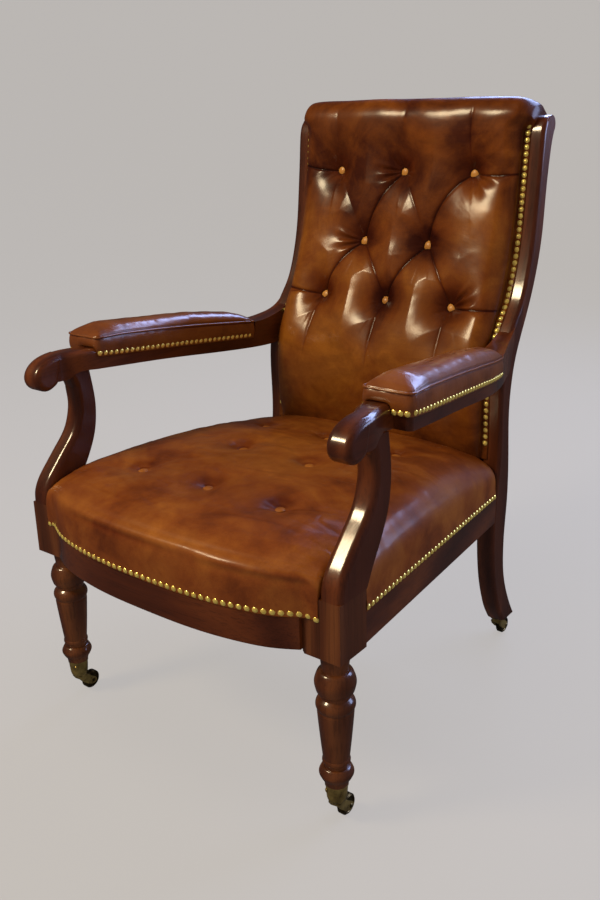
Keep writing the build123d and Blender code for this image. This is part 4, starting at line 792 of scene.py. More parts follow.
def seat_relief(x, y):
    r_all = np.zeros(x.shape)
    painted_fold_shade = np.zeros(x.shape)
    for k, (tx, ty) in enumerate(TUFTS):
        dx, dy = x - tx, (y - ty)
        r = np.hypot(dx, dy * 1.05)
        a = np.arctan2(dy, dx)
        r_all += 6.5 * np.exp(-(r / 20.0) ** 1.5) + 4.2 * np.exp(-(r / 50.0) ** 2)
        star = np.cos(4 * a + 0.6 * math.sin(k * 2.1)) * 0.5 + np.cos(7 * a + 1.3 * k) * 0.5
        r_all += 0.35 * star * np.exp(-((r - 24) / 14.0) ** 2)
        # painted shade on the left and rear side of each tuft's dimple, with a dark ring close round the tuft
        ring = np.exp(-((np.hypot(dx + 4, dy - 3) - 17.0) / 9.0) ** 2) * smooth01(-dx + 0.8 * dy, -10, 16)
        painted_fold_shade = np.maximum(painted_fold_shade, (0.34, 0.30, 0.40, 0.26, 0.36, 0.3, 0.32, 0.3)[k] * ring)
        painted_fold_shade = np.maximum(painted_fold_shade, 0.5 * np.exp(-((r - 10.5) / 2.6) ** 2) * smooth01(-dx + dy, -6, 8))
    links = [(0, 3), (1, 3), (1, 4), (2, 4), (3, 5), (3, 6), (4, 6), (4, 7)]
    for a, b in links:
        dist, t, _ = seg_distance(x, y, [TUFTS[a], TUFTS[b]])
        r_all += 1.1 * np.exp(-(dist / 20.0) ** 2) * (0.6 + 0.4 * np.cos(2 * math.pi * t))
    q = np.stack([x / 95.0, y / 60.0, 0 * x], -1)
    wr = fbm(q + 0.35 * noise3(q * 2.1, 3)[..., None], 3, 51)
    r_all += 1.5 * wr
    ridge = np.abs(fbm(np.stack([x / 80.0, y / 40.0, 0 * x + 7], -1), 2, 61))
    r_all += 0.40 * np.exp(-(ridge / 0.06) ** 2)
    # faint creases left by use across the front
    for (cx, cy), (ex, ey), bow_mm, amp in (((-225, -292), (-40, -318), 9, 0.5), ((60, -300), (225, -262), -8, 0.7),
                                            ((90, -270), (245, -190), -12, 0.8), ((-30, -150), (130, -120), 10, 0.45),
                                            ((120, -60), (255, 40), -10, 0.6)):
        dist, t, _ = seg_distance(x, y, bent((cx, cy), (ex, ey), bow_mm))
        m_ = amp * np.sin(math.pi * np.clip(t, 0, 1)) * np.exp(-(dist / 3.2) ** 2)
        r_all += m_
        # painted shade along each crease
        painted_fold_shade = np.maximum(painted_fold_shade, 0.26 * m_ / max(amp, 0.1) * (amp / 0.8))
    return -r_all, painted_fold_shade


# rows of the main skin: up the border, round the roll, then back over the top
border = np.array([(0.0, 0.0), (-0.9, 0.10), (-1.7, 0.24), (-2.3, 0.40), (-2.6, 0.56), (-2.2, 0.70), (-1.0, 0.81),
                   (0.9, 0.892), (3.2, 0.945), (6.2, 0.98), (9.6, 1.0)])
bt, _ = even(border * np.array([1.0, 75.0]), 40)
border_line = curve(border * np.array([1.0, 75.0]), bt) / np.array([1.0, 75.0])
col_u = np.concatenate([np.linspace(0, 0.955, 126), 1 - 0.045 * (1 - np.linspace(0, 1, 10)[1:]) ** 1.5])
col_u = np.concatenate([-col_u[:0:-1], col_u])
front_f = np.linspace(0, 1, 42)[1:]
rear_y = np.linspace(-253, 236, 225)[1:]
xs = col_u * 276.0
skin_rows = []
roll_m = smooth01(xs, -200, -90) * smooth01(-xs, -120, 10)
ridge_m = smooth01(xs, 70, 150) * smooth01(276 - np.abs(xs), 4, 26)
for d, f in border_line:
    # on the sitter's right the crown has settled over the border and throws a crease
    y = bow_smooth(xs) + d + roll_m * (1.8 * math.exp(-((f - 0.80) / 0.06) ** 2) - 1.2 * math.exp(-((f - 0.93) / 0.06) ** 2))
    y = y + ridge_m * (1.2 * math.exp(-((f - 0.74) / 0.07) ** 2) - 2.4 * math.exp(-((f - 0.89) / 0.07) ** 2))
    z_roll = seat_top(xs, bow_smooth(xs) + 9.6)
    z0 = 339.4
    # rounded corner against the arm support
    corner = 276.0 - np.abs(xs)
    tuck = 5.0 * np.exp(-corner / 3.0) * f
    skin_rows.append(np.stack([xs, y + tuck * 0.6, z0 + (z_roll - z0) * f - tuck * 0.6], 1))
for f in front_f:
    y = (bow_smooth(xs) + 9.6) * (1 - f) + (-253.0) * f
    z = seat_top(xs, y)
    corner = 276.0 - np.abs(xs)
    tuck = 5.0 * np.exp(-corner / 3.0) * (1 - smooth01(f, 0.80, 1.0))
    skin_rows.append(np.stack([xs, y, z - tuck], 1))
n_front = len(skin_rows)
for yv in rear_y:
    x = col_u * (rail_x(yv) - 35.0)
    y = np.full(x.shape, yv)
    skin_rows.append(np.stack([x, y, seat_top(x, y)], 1))
seat_main = np.array(skin_rows)
# flaps outside the main skin, behind the arm supports, down to the side rails
flap_k = 46
zed = []
for j in range(n_front - 1, len(seat_main)):
    yv = seat_main[j, 0, 1]
    rx = rail_x(yv)
    q0 = (rx - 35.0) / rx
    # round the shoulder evenly, then straight down to the lower edge
    q = 1 - (1 - q0) * (1 - np.linspace(0, 1, 34)) ** 2.2
    x = q * rx
    z = seat_top(x, np.full(x.shape, yv))
    zn = z[-1]
    z_low = 336.4 - 19.0 * max(0.0, yv + 253.0) / 489.0
    t = np.linspace(0, 1, flap_k - 34 + 1)[1:]
    xd = rx + 0.9 * np.sin(t * math.pi) - 0.0 * t
    zd = zn + (z_low - zn) * t
    zed.append(np.stack([np.concatenate([x, xd]), np.full(flap_k, yv), np.concatenate([z, zd])], 1))
flap = np.array(zed)                       # rows x columns, starts on the main skin's edge
flap[:, 0] = seat_main[n_front - 1:, -1]


def shape_seat(P, main):
    x, y = P[..., 0], P[..., 1]
    rel, painted_fold_shade = seat_relief(x, y)
    d = y - bow_smooth(x)
    fade = smooth01(d, 6, 46) * smooth01(236 - y, 0, 30) * smooth01(rail_x(y) - np.abs(x), 8, 60)
    small = 0.8 * fbm(np.stack([x / 26.0, y / 26.0, P[..., 2] / 26.0], -1), 2, 71)
    n = grid_normals(P)
    n *= np.sign(n[..., 2].mean())
    edge = smooth01(P[..., 2], 352, 372)
    out = P + n * (rel * fade + small * edge * (0.35 + 0.65 * fade))[..., None]
    # base tone with random variation, darker in the tufts' dimples (painted shade)
    wear_and_painted_light = np.clip(0.52 + 0.10 * fbm(np.stack([x / 60.0, y / 60.0, 0 * x], -1), 2, 5) + rel * fade * 0.022, 0, 1)
    # lighter along the front roll: worn edge and painted highlight
    roll = np.exp(-((d - 6) / 12.0) ** 2)
    wear_and_painted_light = np.clip(wear_and_painted_light + 0.22 * roll, 0, 1)
    # the front border darker: painted shade
    wear_and_painted_light = wear_and_painted_light * (0.70 + 0.30 * smooth01(d, -3.5, 3.0)) - 0.12 * (1 - smooth01(d, -3.5, 3.0))
    # painted sheen over the middle of the seat
    wear_and_painted_light = wear_and_painted_light + 0.26 * np.exp(-((x + 10) / 150.0) ** 2 - ((y + 70) / 130.0) ** 2) * (d > 5)
    # painted highlight on the right front side of each tuft's dimple
    for k, (tx, ty) in enumerate(TUFTS):
        wear_and_painted_light = wear_and_painted_light + 0.42 * np.exp(-(np.hypot(x - tx - 8, y - ty + 8) / 15.0) ** 2) * (d > 5)
    zr = seat_top(x, bow_smooth(x) + 9.6)
    fr = (P[..., 2] - 339.4) / np.maximum(zr - 339.4, 1)
    # painted shadow under the front roll on the sitter's right
    crease = 0.42 * np.exp(-((fr - 0.80) / 0.075) ** 2) * smooth01(x, -200, -90) * smooth01(-x, -120, 10) * (d < 5)
    return out, np.maximum(painted_fold_shade * fade, crease), np.clip(wear_and_painted_light, 0, 1)


seat_main2, seat_painted_fold_shade, seat_wear_and_painted_light = shape_seat(seat_main, True)
flap2, flap_painted_fold_shade, flap_wear_and_painted_light = shape_seat(flap, False)
flap2[:, 0] = seat_main2[n_front - 1:, -1]
flap_wear_and_painted_light[:, 0] = seat_wear_and_painted_light[n_front - 1:, -1]
# the flap's first column was laid on the main skin's edge above, so that no line shows
# arm supports lean back: the leather is cut round them
SUPPORT_BACK = np.array([(372, -253), (385, -246), (402, -237), (421, -225), (446, -211), (469, -201.5)])
for A, sgn in ((flap2, 1.0),):
    zz = np.clip(A[..., 2], 372, 469)
    lim = np.interp(zz, SUPPORT_BACK[:, 0], SUPPORT_BACK[:, 1]) + 0.6
    near = (np.abs(A[..., 0]) > 276.2)
    # rows bunch up behind the support
    span = 60.0
    yy = A[..., 1]
    push = np.where(near & (yy < lim + span), lim + (np.maximum(yy, -253) + 253) * (lim + span - lim) / (lim + span + 253), yy)
    A[..., 1] = np.where(near, np.maximum(yy, push), yy)

verts, faces, av_w, av_f = [], [], [], []


def add_grid(P, w, f):
    off = sum(len(v) for v in verts)
    verts.append(P.reshape(-1, 3))
    av_w.append(np.asarray(w).ravel())
    av_f.append(np.asarray(f).ravel())
    idx = np.arange(P.shape[0] * P.shape[1]).reshape(P.shape[:2]) + off
    faces.extend(grid_faces(idx))
    return idx


i_main = add_grid(seat_main2, seat_wear_and_painted_light, seat_painted_fold_shade)
right = flap2
left = flap2 * np.array([-1.0, 1, 1])
i_right = add_grid(right, flap_wear_and_painted_light, flap_painted_fold_shade)
i_left = add_grid(left, flap_wear_and_painted_light, flap_painted_fold_shade)
# boundary loop, right round: front edge, right notch, right side, back, and so on
P_all = np.concatenate(verts)
front_edge = i_main[0, :]
wall_r = i_main[1:n_front, -1]
flap_front_r = i_right[0, 1:]
side_r = i_right[1:, -1]
back_r = i_right[-1, -2:0:-1]
back_m = i_main[-1, ::-1]
back_l = i_left[-1, 1:-1]
side_l = i_left[::-1, -1][:-1]
flap_front_l = i_left[0, :0:-1]
wall_l = i_main[n_front - 1:0:-1, 0]
ring = np.concatenate([front_edge, wall_r, flap_front_r, side_r, back_r, back_m, back_l, side_l, flap_front_l, wall_l])
top = P_all[ring]


def low_z(p):
    """Where the cover ends below: at the front and sides on the rails' faces, elsewhere on the frame."""
    x, y, z = p
    if y < -252.5 and abs(x) > 249.5 and not (y < -300 and abs(x) < 276.5 and z < 372):
        return 372.4
    return z


low = top.copy()
n_fe = len(front_edge)
kinds = (["front"] * n_fe + ["wall"] * len(wall_r) + ["ff"] * len(flap_front_r) + ["side"] * len(side_r)
         + ["back"] * (len(back_r) + len(back_m) + len(back_l)) + ["side"] * len(side_l)
         + ["ff"] * len(flap_front_l) + ["wall"] * len(wall_l))
for k, kind in enumerate(kinds):
    x, y, z = top[k]
    if kind == "wall":
        low[k] = (x, y, min(z, 372.6 if y > -314.0 else 340.0 + 30.0 * smooth01(y, -316, -312)))
    elif kind == "ff":
        yy = -252.6 if z < 372 else y
        low[k] = (x, -252.6, min(z, 364.0 if abs(x) < 308 else z))
    elif kind == "back":
        low[k] = (x, y, 352.0)
inner = low.copy()
c = np.array([0.0, -40.0])
for k, kind in enumerate(kinds):
    x, y, z = low[k]
    zz = 363.8 - 19.0 * max(0.0, y + 253.0) / 489.0
    if kind == "front":
        inner[k] = (x, y + 2.2, z)
    elif kind == "side":
        inner[k] = (x - 2.2 * np.sign(x), y, z)
rise = inner.copy()
for k in range(len(rise)):
    x, y, z = rise[k]
    zz = 363.8 - 19.0 * max(0.0, y + 253.0) / 489.0
    rise[k, 2] = max(zz, z) if kinds[k] in ("front", "side") else z
    if kinds[k] == "front" and abs(x) > 249.0:
        rise[k, 2] = 372.8
off = len(P_all)
n = len(ring)
ring_low = np.arange(n) + off
ring_in = np.arange(n) + off + n
ring_up = np.arange(n) + off + 2 * n
P_all = np.concatenate([P_all, low, inner, rise])
for a, b in ((ring, ring_low), (ring_low, ring_in), (ring_in, ring_up)):
    a2, b2 = np.roll(a, -1), np.roll(b, -1)
    faces.extend(np.stack([a, a2, b2, b], 1).tolist())
faces.append(ring_up.tolist())
w_all = np.concatenate(av_w + [np.full(3 * n, 0.3)])
f_all = np.concatenate(av_f + [np.zeros(3 * n)])
seat = make_mesh("seat_cushion", P_all, faces, {"wear_and_painted_light": w_all, "painted_fold_shade": f_all}, M_SEAT, merge=2e-5)
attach(seat, "frame")
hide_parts("seat_pad", *[n for n in ("seat_border",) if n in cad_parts])

spots = []
flat_xy = seat_main2.reshape(-1, 3)
for tx, ty in TUFTS:
    k = int(np.argmin((flat_xy[:, 0] - tx) ** 2 + (flat_xy[:, 1] - ty) ** 2))
    slope = 0.0 if ty < 50 else 0.16
    spots.append((flat_xy[k] + np.array([0, 0, 0.4]), (0, slope, 1)))
tufts = buttons_mesh("seat_tuft_buttons", spots, 8.2, 3.0, M_TUFT)
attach(tufts, "frame")
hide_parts("seat_tufts")

# ---------------------------------------------------------------------------
# arm pads: boxed, welted, with a low crown
# ---------------------------------------------------------------------------
PAD_OUT = [(338.5, -178), (336, -150), (332, -110), (324, -40), (316, 30), (306, 110), (296, 158), (289, 179)]
PAD_IN = [(240, 179), (241, 155), (248, 80), (254, 0), (259, -90), (262.5, -178)]
NAIL_Z = [(-204, 606.0), (-140, 598.5), (-51, 590.0), (56, 579.5), (184, 566.5), (200, 565)]
SEAM_Z = [(-195, 629.5), (-137, 627.5), (-68, 621.5), (0, 614.5), (57, 608), (120, 600), (165, 594.5), (190, 591)]
CROWN_Z = [(-195, 4), (-178, 12), (-150, 18), (-100, 18.5), (-58, 18.5), (34, 21), (100, 19.5), (134, 18), (160, 14), (190, 6)]
RAIL_TOP_Z = [(-260, 610.6), (-247, 612.4), (-225, 613.5), (-205, 613.2), (-184, 611.4), (-141, 606.2), (-52, 598),
              (56, 586.6), (120, 579.6), (185, 574.6), (195, 574.6)]


def table(points, y):
    p = np.array(points, float)
    return np.interp(y, p[:, 0], p[:, 1])


def pad_outline(count):
    """Closed outline seen from above, starting at the outer front corner."""
    out = curve(PAD_OUT, even(PAD_OUT, 200)[0])
    rear_c = curve([(289, 179), (283, 186), (265, 189), (247, 186), (240, 179)], np.linspace(0, 4, 60))
    inn = curve(PAD_IN, even(PAD_IN, 200)[0])
    front_c = curve([(262.5, -178), (263.6, -186.5), (268.5, -190.2), (283, -190.6), (300, -191), (320, -190),
                     (334.5, -187), (338.5, -178)], np.linspace(0, 7, 90))
    line = np.concatenate([out[:-1], rear_c[:-1], inn[:-1], front_c[:-1]])
    d = np.concatenate([[0], np.cumsum(np.linalg.norm(np.diff(np.concatenate([line, line[:1]]), axis=0), axis=1))])
    closed = np.concatenate([line, line[:1]])
    s = np.linspace(0, d[-1], count, endpoint=False)
    return np.stack([np.interp(s, d, closed[:, 0]), np.interp(s, d, closed[:, 1])], 1)


def arm_pad(side_name, sgn):
    n = 430
    o = pad_outline(n)
    x, y = o[:, 0], o[:, 1]
    t = np.roll(o, -1, 0) - np.roll(o, 1, 0)
    t /= np.linalg.norm(t, axis=1, keepdims=True)
    nrm = np.stack([t[:, 1], -t[:, 0]], 1)
    if (nrm * (o - o.mean(0))).sum() < 0:
        nrm = -nrm
    zn = table(NAIL_Z, y)
    zs = table(SEAM_Z, y)
    # the front border arches over the neck of the scroll
    neck = smooth01(x, 265.5, 267.5) * (1 - smooth01(x, 308.2, 310.4)) * smooth01(-y, 179, 184)
    reach = np.clip(np.minimum(x - 266.4, 308.8 - x), 0, 9.0)
    z_neck = 612.9 - (9.0 - np.sqrt(81.0 - (9.0 - reach) ** 2))
    z_low = (zn - 6.4) * (1 - neck) + z_neck * neck
    rings, wear_and_painted_light, painted_fold_shade = [], [], []
    heights = [0.0, 0.08, 0.2, 0.35, 0.5, 0.65, 0.8, 0.9, 0.965, 1.0]
    seamz = zs
    for f in heights:
        bulge = 2.3 * math.sin(math.pi * min(1.0, f)) ** 0.8 if 0 < f < 1 else 0.0
        near_nail = np.exp(-(((z_low + (seamz - z_low) * f) - zn) / 4.0) ** 2)
        b = bulge - 0.8 * near_nail
        puck = 0.35 * fbm(np.stack([x / 11.0, y / 11.0, np.full(n, f * 2.0)], -1), 2, 81)
        p = o + nrm * (b + (puck if 0 < f < 1 else 0))[:, None] if 0 < f < 1 else o.copy()
        rings.append(np.stack([p[:, 0], p[:, 1], z_low + (seamz - 1.2 - z_low) * f], 1))
        wear_and_painted_light.append(np.full(n, 0.42 if f < 0.9 else 0.55))
        # painted shade along the top of the border, under the welt
        painted_fold_shade.append(np.full(n, 0.0 if f < 0.93 else 0.55))
    # the seam sits in a small groove under the welt
    p = o - nrm * 1.6
    rings.append(np.stack([p[:, 0], p[:, 1], seamz - 0.4], 1))
    wear_and_painted_light.append(np.full(n, 0.5))
    # painted shade in the seam's groove
    painted_fold_shade.append(np.full(n, 0.9))
    # top panel, drawn in to a centre line
    cy0, cy1 = -152.0, 152.0
    cy = np.clip(y, cy0, cy1)
    mid_x = np.interp(cy, [-178, -90, 0, 80, 155, 179], [300.5, 294, 287, 280, 269.5, 264.5])
    centre = np.stack([mid_x, cy], 1)
    steps = 1 - (1 - np.linspace(0, 1, 34)[1:]) ** 1.35
    for k, f in enumerate(steps):
        p = o * (1 - f) + centre * f
        r = p - nrm * 0.0
        cr = table(CROWN_Z, r[:, 1])
        prof = (1 - (1 - f) ** 2.5) ** 0.62
        zb = table(SEAM_Z, r[:, 1])
        wr = 0.7 * fbm(np.stack([r[:, 0] / 34.0, r[:, 1] / 22.0, np.zeros(n)], -1), 3, 91)
        pull = 0.5 * np.cos(np.arange(n) * (2 * math.pi / 19.5)) * math.exp(-f / 0.10)
        rings.append(np.stack([r[:, 0], r[:, 1], zb + cr * prof + (wr * min(1, f * 4)) + pull], 1))
        wear_and_painted_light.append(np.full(n, 0.45) + 0.25 * prof + 0.12 * fbm(np.stack([r[:, 0] / 30.0, r[:, 1] / 30.0, np.zeros(n)], -1), 2, 95))
        # painted shade along the top panel's edge by the welt
        painted_fold_shade.append(np.full(n, 0.55 * math.exp(-f / 0.02)))
    # under the nails: lower edge turned in, then up to the wood
    low_in = o - nrm * 2.2
    rt = np.maximum(table(RAIL_TOP_Z, y) + 0.4, z_low)
    under = [np.stack([low_in[:, 0], low_in[:, 1], z_low], 1), np.stack([low_in[:, 0], low_in[:, 1], rt], 1)]
    grid = np.array(under[::-1] + rings)
    wv = np.array([np.full(n, 0.3)] * 2 + wear_and_painted_light)
    fv = np.array([np.zeros(n)] * 2 + painted_fold_shade)
    rows = len(grid)
    idx = np.arange(rows * n).reshape(rows, n)
    idx2 = np.concatenate([idx, idx[:, :1]], 1)
    faces = grid_faces(idx2) + [idx[0].tolist()]
    pts = grid.reshape(-1, 3) * np.array([sgn, 1, 1])
    # the centre line closes on itself: points of the two sides meet
    pad = make_mesh("arm_cushion_" + side_name, pts, faces, {"wear_and_painted_light": wv.ravel(), "painted_fold_shade": fv.ravel()}, M_ARM)
    bm = bmesh.new()
    bm.from_mesh(pad.data)
    bm.verts.ensure_lookup_table()
    edge = [e for e in bm.edges if e.is_boundary]
    if edge:
        bmesh.ops.holes_fill(bm, edges=edge, sides=0)
    bmesh.ops.recalc_face_normals(bm, faces=bm.faces)
    for f in bm.faces:
        f.smooth = True
    bm.to_mesh(pad.data)
    bm.free()
    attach(pad, "frame")
    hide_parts("arm_pad_" + side_name)
    w = o + nrm * 0.35
    path = np.stack([w[:, 0] * sgn, w[:, 1], seamz + 0.35], 1)
    welt = tube_mesh("arm_welt_" + side_name, path, 1.75, 10, True, M_ARM,
                     {"wear_and_painted_light": np.full(n * 10, 0.62), "painted_fold_shade": np.full(n * 10, 0.0)})
    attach(welt, "frame")
    return pad


arm_pad("right", 1.0)
arm_pad("left", -1.0)

# ---------------------------------------------------------------------------
# outside back: one hide stretched over the frame and nailed all round
# ---------------------------------------------------------------------------
SKIN = [
    (405.0, 938), (400.2, 922), (395, 900), (390, 870), (385, 824), (379, 765), (369, 722), (354, 680),
    (336, 642), (315, 604), (295, 563), (283, 517), (279, 472), (284, 400), (287.4, 345), (287.2, 320), (286.6, 300),
]
kt, skin_len = even(SKIN, 170)
line = curve(SKIN, kt)
sx = np.linspace(-236, 236, 120)
sheet_in = np.empty((170, 120, 3))
sheet_in[..., 0] = sx[None, :]
sheet_in[..., 1] = line[:, 0][:, None] + 0.15
sheet_in[..., 2] = line[:, 1][:, None]
inner_clear = smooth01(232 - np.abs(sx), 8, 60)[None, :] * smooth01(np.arange(170)[:, None], 4, 26) \
    * smooth01(169 - np.arange(170)[:, None], 4, 26)
nn = grid_normals(sheet_in)
nn *= np.sign(nn[..., 1].mean())
zz = sheet_in[..., 2]
bulge = inner_clear * (2.4 * fbm(np.stack([sheet_in[..., 0] / 120.0, zz / 120.0, 0 * zz], -1), 2, 101) + 1.4)
draw = 0.5 * np.cos(zz * 2 * math.pi / 13.0) * np.exp(-(236 - np.abs(sheet_in[..., 0])) / 11.0)
sheet_out = sheet_in + nn * (2.0 + bulge + 0.25 * draw)[..., None]
sheet_in = sheet_in + nn * bulge[..., None]
top_i = np.arange(170 * 120).reshape(170, 120)
bot_i = top_i + 170 * 120
rim = np.concatenate([top_i[0, :], top_i[1:, -1], top_i[-1, -2::-1], top_i[-2:0:-1, 0]])
rim_b = rim + 170 * 120
faces = grid_faces(top_i) + grid_faces(bot_i[:, ::-1]) + np.stack([rim, np.roll(rim, -1), np.roll(rim_b, -1), rim_b], 1).tolist()
wv = 0.45 + 0.2 * inner_clear * np.ones((170, 120))
hide = make_mesh("outside_back_hide", np.concatenate([sheet_out.reshape(-1, 3), sheet_in.reshape(-1, 3)]), faces,
                 {"wear_and_painted_light": np.tile(wv.ravel(), 2), "painted_fold_shade": np.zeros(2 * 170 * 120)}, M_BACK)
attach(hide, "frame")
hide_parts("outside_back")

# ---------------------------------------------------------------------------
# underneath: laced webbing and hessian
# ---------------------------------------------------------------------------
tilt = math.atan(19.0 / 489.0)


def tilted(x, v, h):
    """Point on the plane of the rails' tops: v along it from the leg blocks, h above."""
    return np.array([x, -253 + v * math.cos(tilt), h - v * math.sin(tilt)])


LONG_X = (-165, -55, 55, 165)
CROSS_V = (60, 165, 270, 375)


def strap(points, across, thick):
    """A flat strap: centre points, the across direction and its thickness."""
    p = np.asarray(points, float)
    n = len(p)
    a = np.asarray(across, float)
    w = np.linspace(-1, 1, 9)
    topg = p[:, None, :] + a[None, None, :] * w[None, :, None]
    up = np.array([0, 0, thick / 2])
    tg = topg + up * np.array([1.0])[0] + np.array([0, 0, 0.10]) * np.cos(w * 28)[None, :, None]
    bg = topg - up
    it = np.arange(n * 9).reshape(n, 9)
    ib = it + n * 9
    rim = np.concatenate([it[0, :], it[1:, -1], it[-1, -2::-1], it[-2:0:-1, 0]])
    rb = rim + n * 9
    faces = grid_faces(it) + grid_faces(ib[:, ::-1]) + np.stack([rim, np.roll(rim, -1), np.roll(rb, -1), rb], 1).tolist()
    return np.concatenate([tg.reshape(-1, 3), bg.reshape(-1, 3)]), faces


def straps_mesh(name, parts, mat):
    verts, faces = [], []
    for v, f in parts:
        off = sum(len(a) for a in verts)
        verts.append(v)
        faces += [[i + off for i in q] for q in f]
    return make_mesh(name, np.concatenate(verts), faces, None, mat)


def weave_h(x, v, sign):
    """Over and under at each crossing."""
    h = 0.0
    for i, lx in enumerate(LONG_X):
        for j, cv in enumerate(CROSS_V):
            d2 = ((x - lx) / 42.0) ** 2 + ((v - cv) / 42.0) ** 2
            h += (1 if (i + j) % 2 == 0 else -1) * math.exp(-d2 ** 2)
    return sign * h * 0.95


parts = []
for x in LONG_X:
    v0 = -(abs(float(bow_smooth(x))) - 253 - 46)
    vs = np.linspace(v0, 500, 130)
    pts = [tilted(x, v, 351.6 + weave_h(x, v, 1)) for v in vs]
    parts.append(strap(pts, (25, 0, 0), 1.2))
long_web = straps_mesh("webbing_long", parts, M_WEB)
parts = []
for v in CROSS_V:
    y = -253 + v
    hw = rail_x(y) - 26.5
    xv = np.linspace(-hw, hw, 120)
    pts = [tilted(x, v, 351.6 + weave_h(x, v, -1)) for x in xv]
    parts.append(strap(pts, (0, 25 * math.cos(tilt), -25 * math.sin(tilt)), 1.2))
cross_web = straps_mesh("webbing_cross", parts, M_WEB)
for o, node in ((long_web, "seat_webbing_long"), (cross_web, "seat_webbing_cross")):
    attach(o, "frame")
    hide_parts(node)

cv_y = np.concatenate([np.linspace(-318, -253.2, 16), np.linspace(-252.8, 232.5, 90), np.linspace(233.5, 254, 6)])
cw = np.where(cv_y < -253, 249.0, np.where(cv_y < 233, 286.0 - (cv_y + 253) * (52.0 / 486.0), 223.8))
cu = np.linspace(-1, 1, 101)
can = np.empty((len(cv_y), 101, 3))
for j, (yv, w) in enumerate(zip(cv_y, cw)):
    x = cu * w
    inner_bow = np.interp(np.abs(x), [0, 60, 120, 170, 211, 249], [-320, -319, -313, -303, -290, -270])
    y = np.maximum(np.full(101, yv), inner_bow) if yv < -253 else np.full(101, yv)
    can[j, :, 0], can[j, :, 1] = x, y
    can[j, :, 2] = 355.1 - 19.0 * (y + 253.0) / 489.0
can[..., 2] += 0.35 * fbm(np.stack([can[..., 0] / 40.0, can[..., 1] / 40.0, 0 * can[..., 0]], -1), 2, 111)
nr = len(cv_y)
it = np.arange(nr * 101).reshape(nr, 101)
ib = it + nr * 101
rim = np.concatenate([it[0, :], it[1:, -1], it[-1, -2::-1], it[-2:0:-1, 0]])
rb = rim + nr * 101
faces = grid_faces(it) + grid_faces(ib[:, ::-1]) + np.stack([rim, np.roll(rim, -1), np.roll(rb, -1), rb], 1).tolist()
canvas = make_mesh("hessian_under_seat", np.concatenate([can.reshape(-1, 3) + [0, 0, 0.4], can.reshape(-1, 3) - [0, 0, 0.4]]),
                   faces, None, M_CANVAS)
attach(canvas, "frame")
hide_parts("seat_canvas")

# ---------------------------------------------------------------------------
# floor, light and camera
# ---------------------------------------------------------------------------
m = Nodes("studio_paper")
tone = m.mix((0.515, 0.491, 0.474, 1), (0.520, 0.496, 0.479, 1), m.noise(2.0, 3, 0.5))
m.set(Base_Color=m.mix((0.066, 0.064, 0.058, 1), (0.069, 0.066, 0.060, 1), m.noise(3.0, 3, 0.5)), Roughness=0.95,
      Specular_IOR_Level=0.05, Emission_Color=tone, Emission_Strength=0.90)
rad = np.concatenate([np.linspace(0, 3.4, 12), 3.4 + 3.6 * np.sin(np.linspace(0, math.pi / 2, 24)[1:]), [7.0]])
hgt = np.concatenate([np.zeros(12), 3.6 * (1 - np.cos(np.linspace(0, math.pi / 2, 24)[1:])), [7.5]])
seg = 96
ang = np.linspace(0, 2 * math.pi, seg, endpoint=False)
pts = [[r * 1000 * math.cos(a), r * 1000 * math.sin(a) + DATUM, h * 1000] for r, h in zip(rad[1:], hgt[1:]) for a in ang]
pts.append([0, DATUM, 0])
idx = np.arange((len(rad) - 1) * seg).reshape(len(rad) - 1, seg)
idx2 = np.concatenate([idx, idx[:, :1]], 1)
faces = grid_faces(idx2) + [[len(pts) - 1, int(idx[0, k]), int(idx[0, (k + 1) % seg])] for k in range(seg)]
floor = make_mesh("studio_floor", np.array(pts), faces, None, m.mat)
floor.visible_glossy = False

world = bpy.data.worlds.new("studio")
scene.world = world
world.use_nodes = True
world.node_tree.nodes["Background"].inputs[0].default_value = (0.55, 0.56, 0.60, 1)
world.node_tree.nodes["Background"].inputs[1].default_value = 0.07


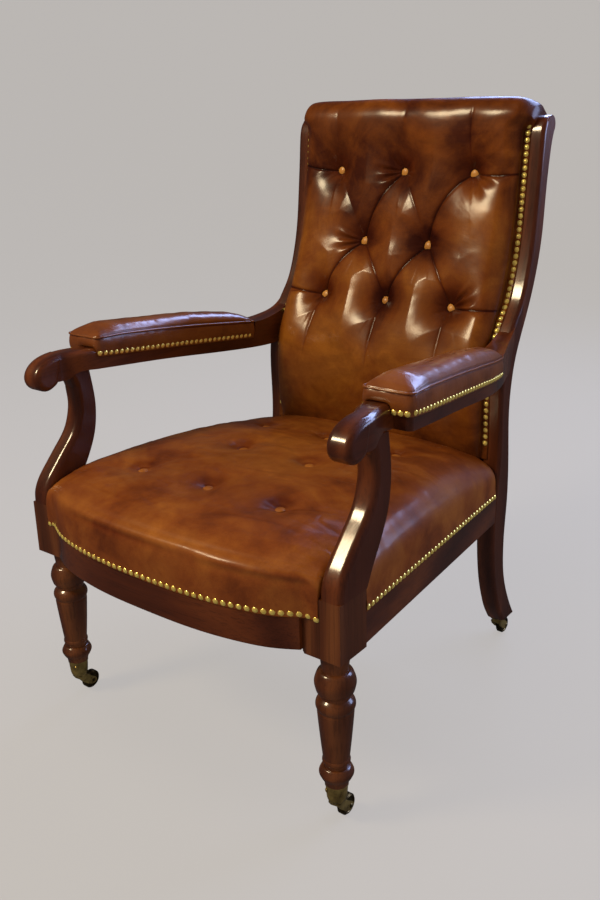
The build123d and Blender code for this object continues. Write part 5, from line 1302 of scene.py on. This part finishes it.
def area(name, at, towards, size, power, colour, size_y=None, shape="RECTANGLE"):
    d = bpy.data.lights.new(name, "AREA")
    d.shape = shape
    d.size = size
    if shape == "RECTANGLE":
        d.size_y = size_y or size
    d.energy = power
    d.color = colour
    o = bpy.data.objects.new(name, d)
    scene.collection.objects.link(o)
    o.location = at
    o.rotation_mode = "QUATERNION"
    o.rotation_quaternion = (Vector(towards) - Vector(at)).to_track_quat("-Z", "Y")
    return o


area("key", (-1.25, -2.15, 2.65), (0, 0, 0.62), 0.80, 92, (1.0, 0.80, 0.50), 0.80, "DISK")
fills = [area("soft_front", (-0.2, -3.0, 1.5), (0, 0, 0.55), 1.8, 15, (1.0, 0.86, 0.72), 1.2),
         area("ceiling", (0.2, -0.5, 2.9), (0.0, 0, 0.4), 1.0, 24, (1.0, 0.86, 0.68), 1.0),
         area("side_fill", (2.7, -1.0, 1.3), (0, 0, 0.45), 1.8, 13, (1.0, 0.70, 0.44), 1.4)]
for fill in fills:
    fill.visible_glossy = False
area("window", (0.35, 2.1, 2.25), (0.15, 0, 0.60), 2.9, 128, (0.42, 0.54, 1.0), 1.0)
area("window_low", (2.0, 2.1, 1.35), (0.2, 0, 0.55), 1.3, 34, (0.46, 0.58, 1.0), 1.0)

cam = bpy.data.cameras.new("camera")
cam_o = bpy.data.objects.new("camera", cam)
scene.collection.objects.link(cam_o)
scene.camera = cam_o
yaw, pitch, roll = math.radians(37.10), math.radians(18.18), math.radians(-1.20)
back_v = Vector((math.sin(yaw) * math.cos(pitch), -math.cos(yaw) * math.cos(pitch), math.sin(pitch)))
right_v = Vector((math.cos(yaw), math.sin(yaw), 0))
up_v = back_v.cross(right_v)
r2 = math.cos(roll) * right_v + math.sin(roll) * up_v
u2 = -math.sin(roll) * right_v + math.cos(roll) * up_v
rot = Matrix((r2, u2, back_v)).transposed()
cam_o.rotation_mode = "QUATERNION"
cam_o.rotation_quaternion = rot.to_quaternion()
cam_o.location = (0.93785482, -1.19260912 - DATUM / 1000.0, 0.97614579)
cam.sensor_width = 36.0
cam.lens = 945.1 / 900.0 * 36.0
cam.shift_x = (300.0 - 312.8968) / 900.0
cam.shift_y = (422.6711 - 450.0) / 900.0
cam.dof.use_dof = False
cam.clip_start, cam.clip_end = 0.05, 60.0
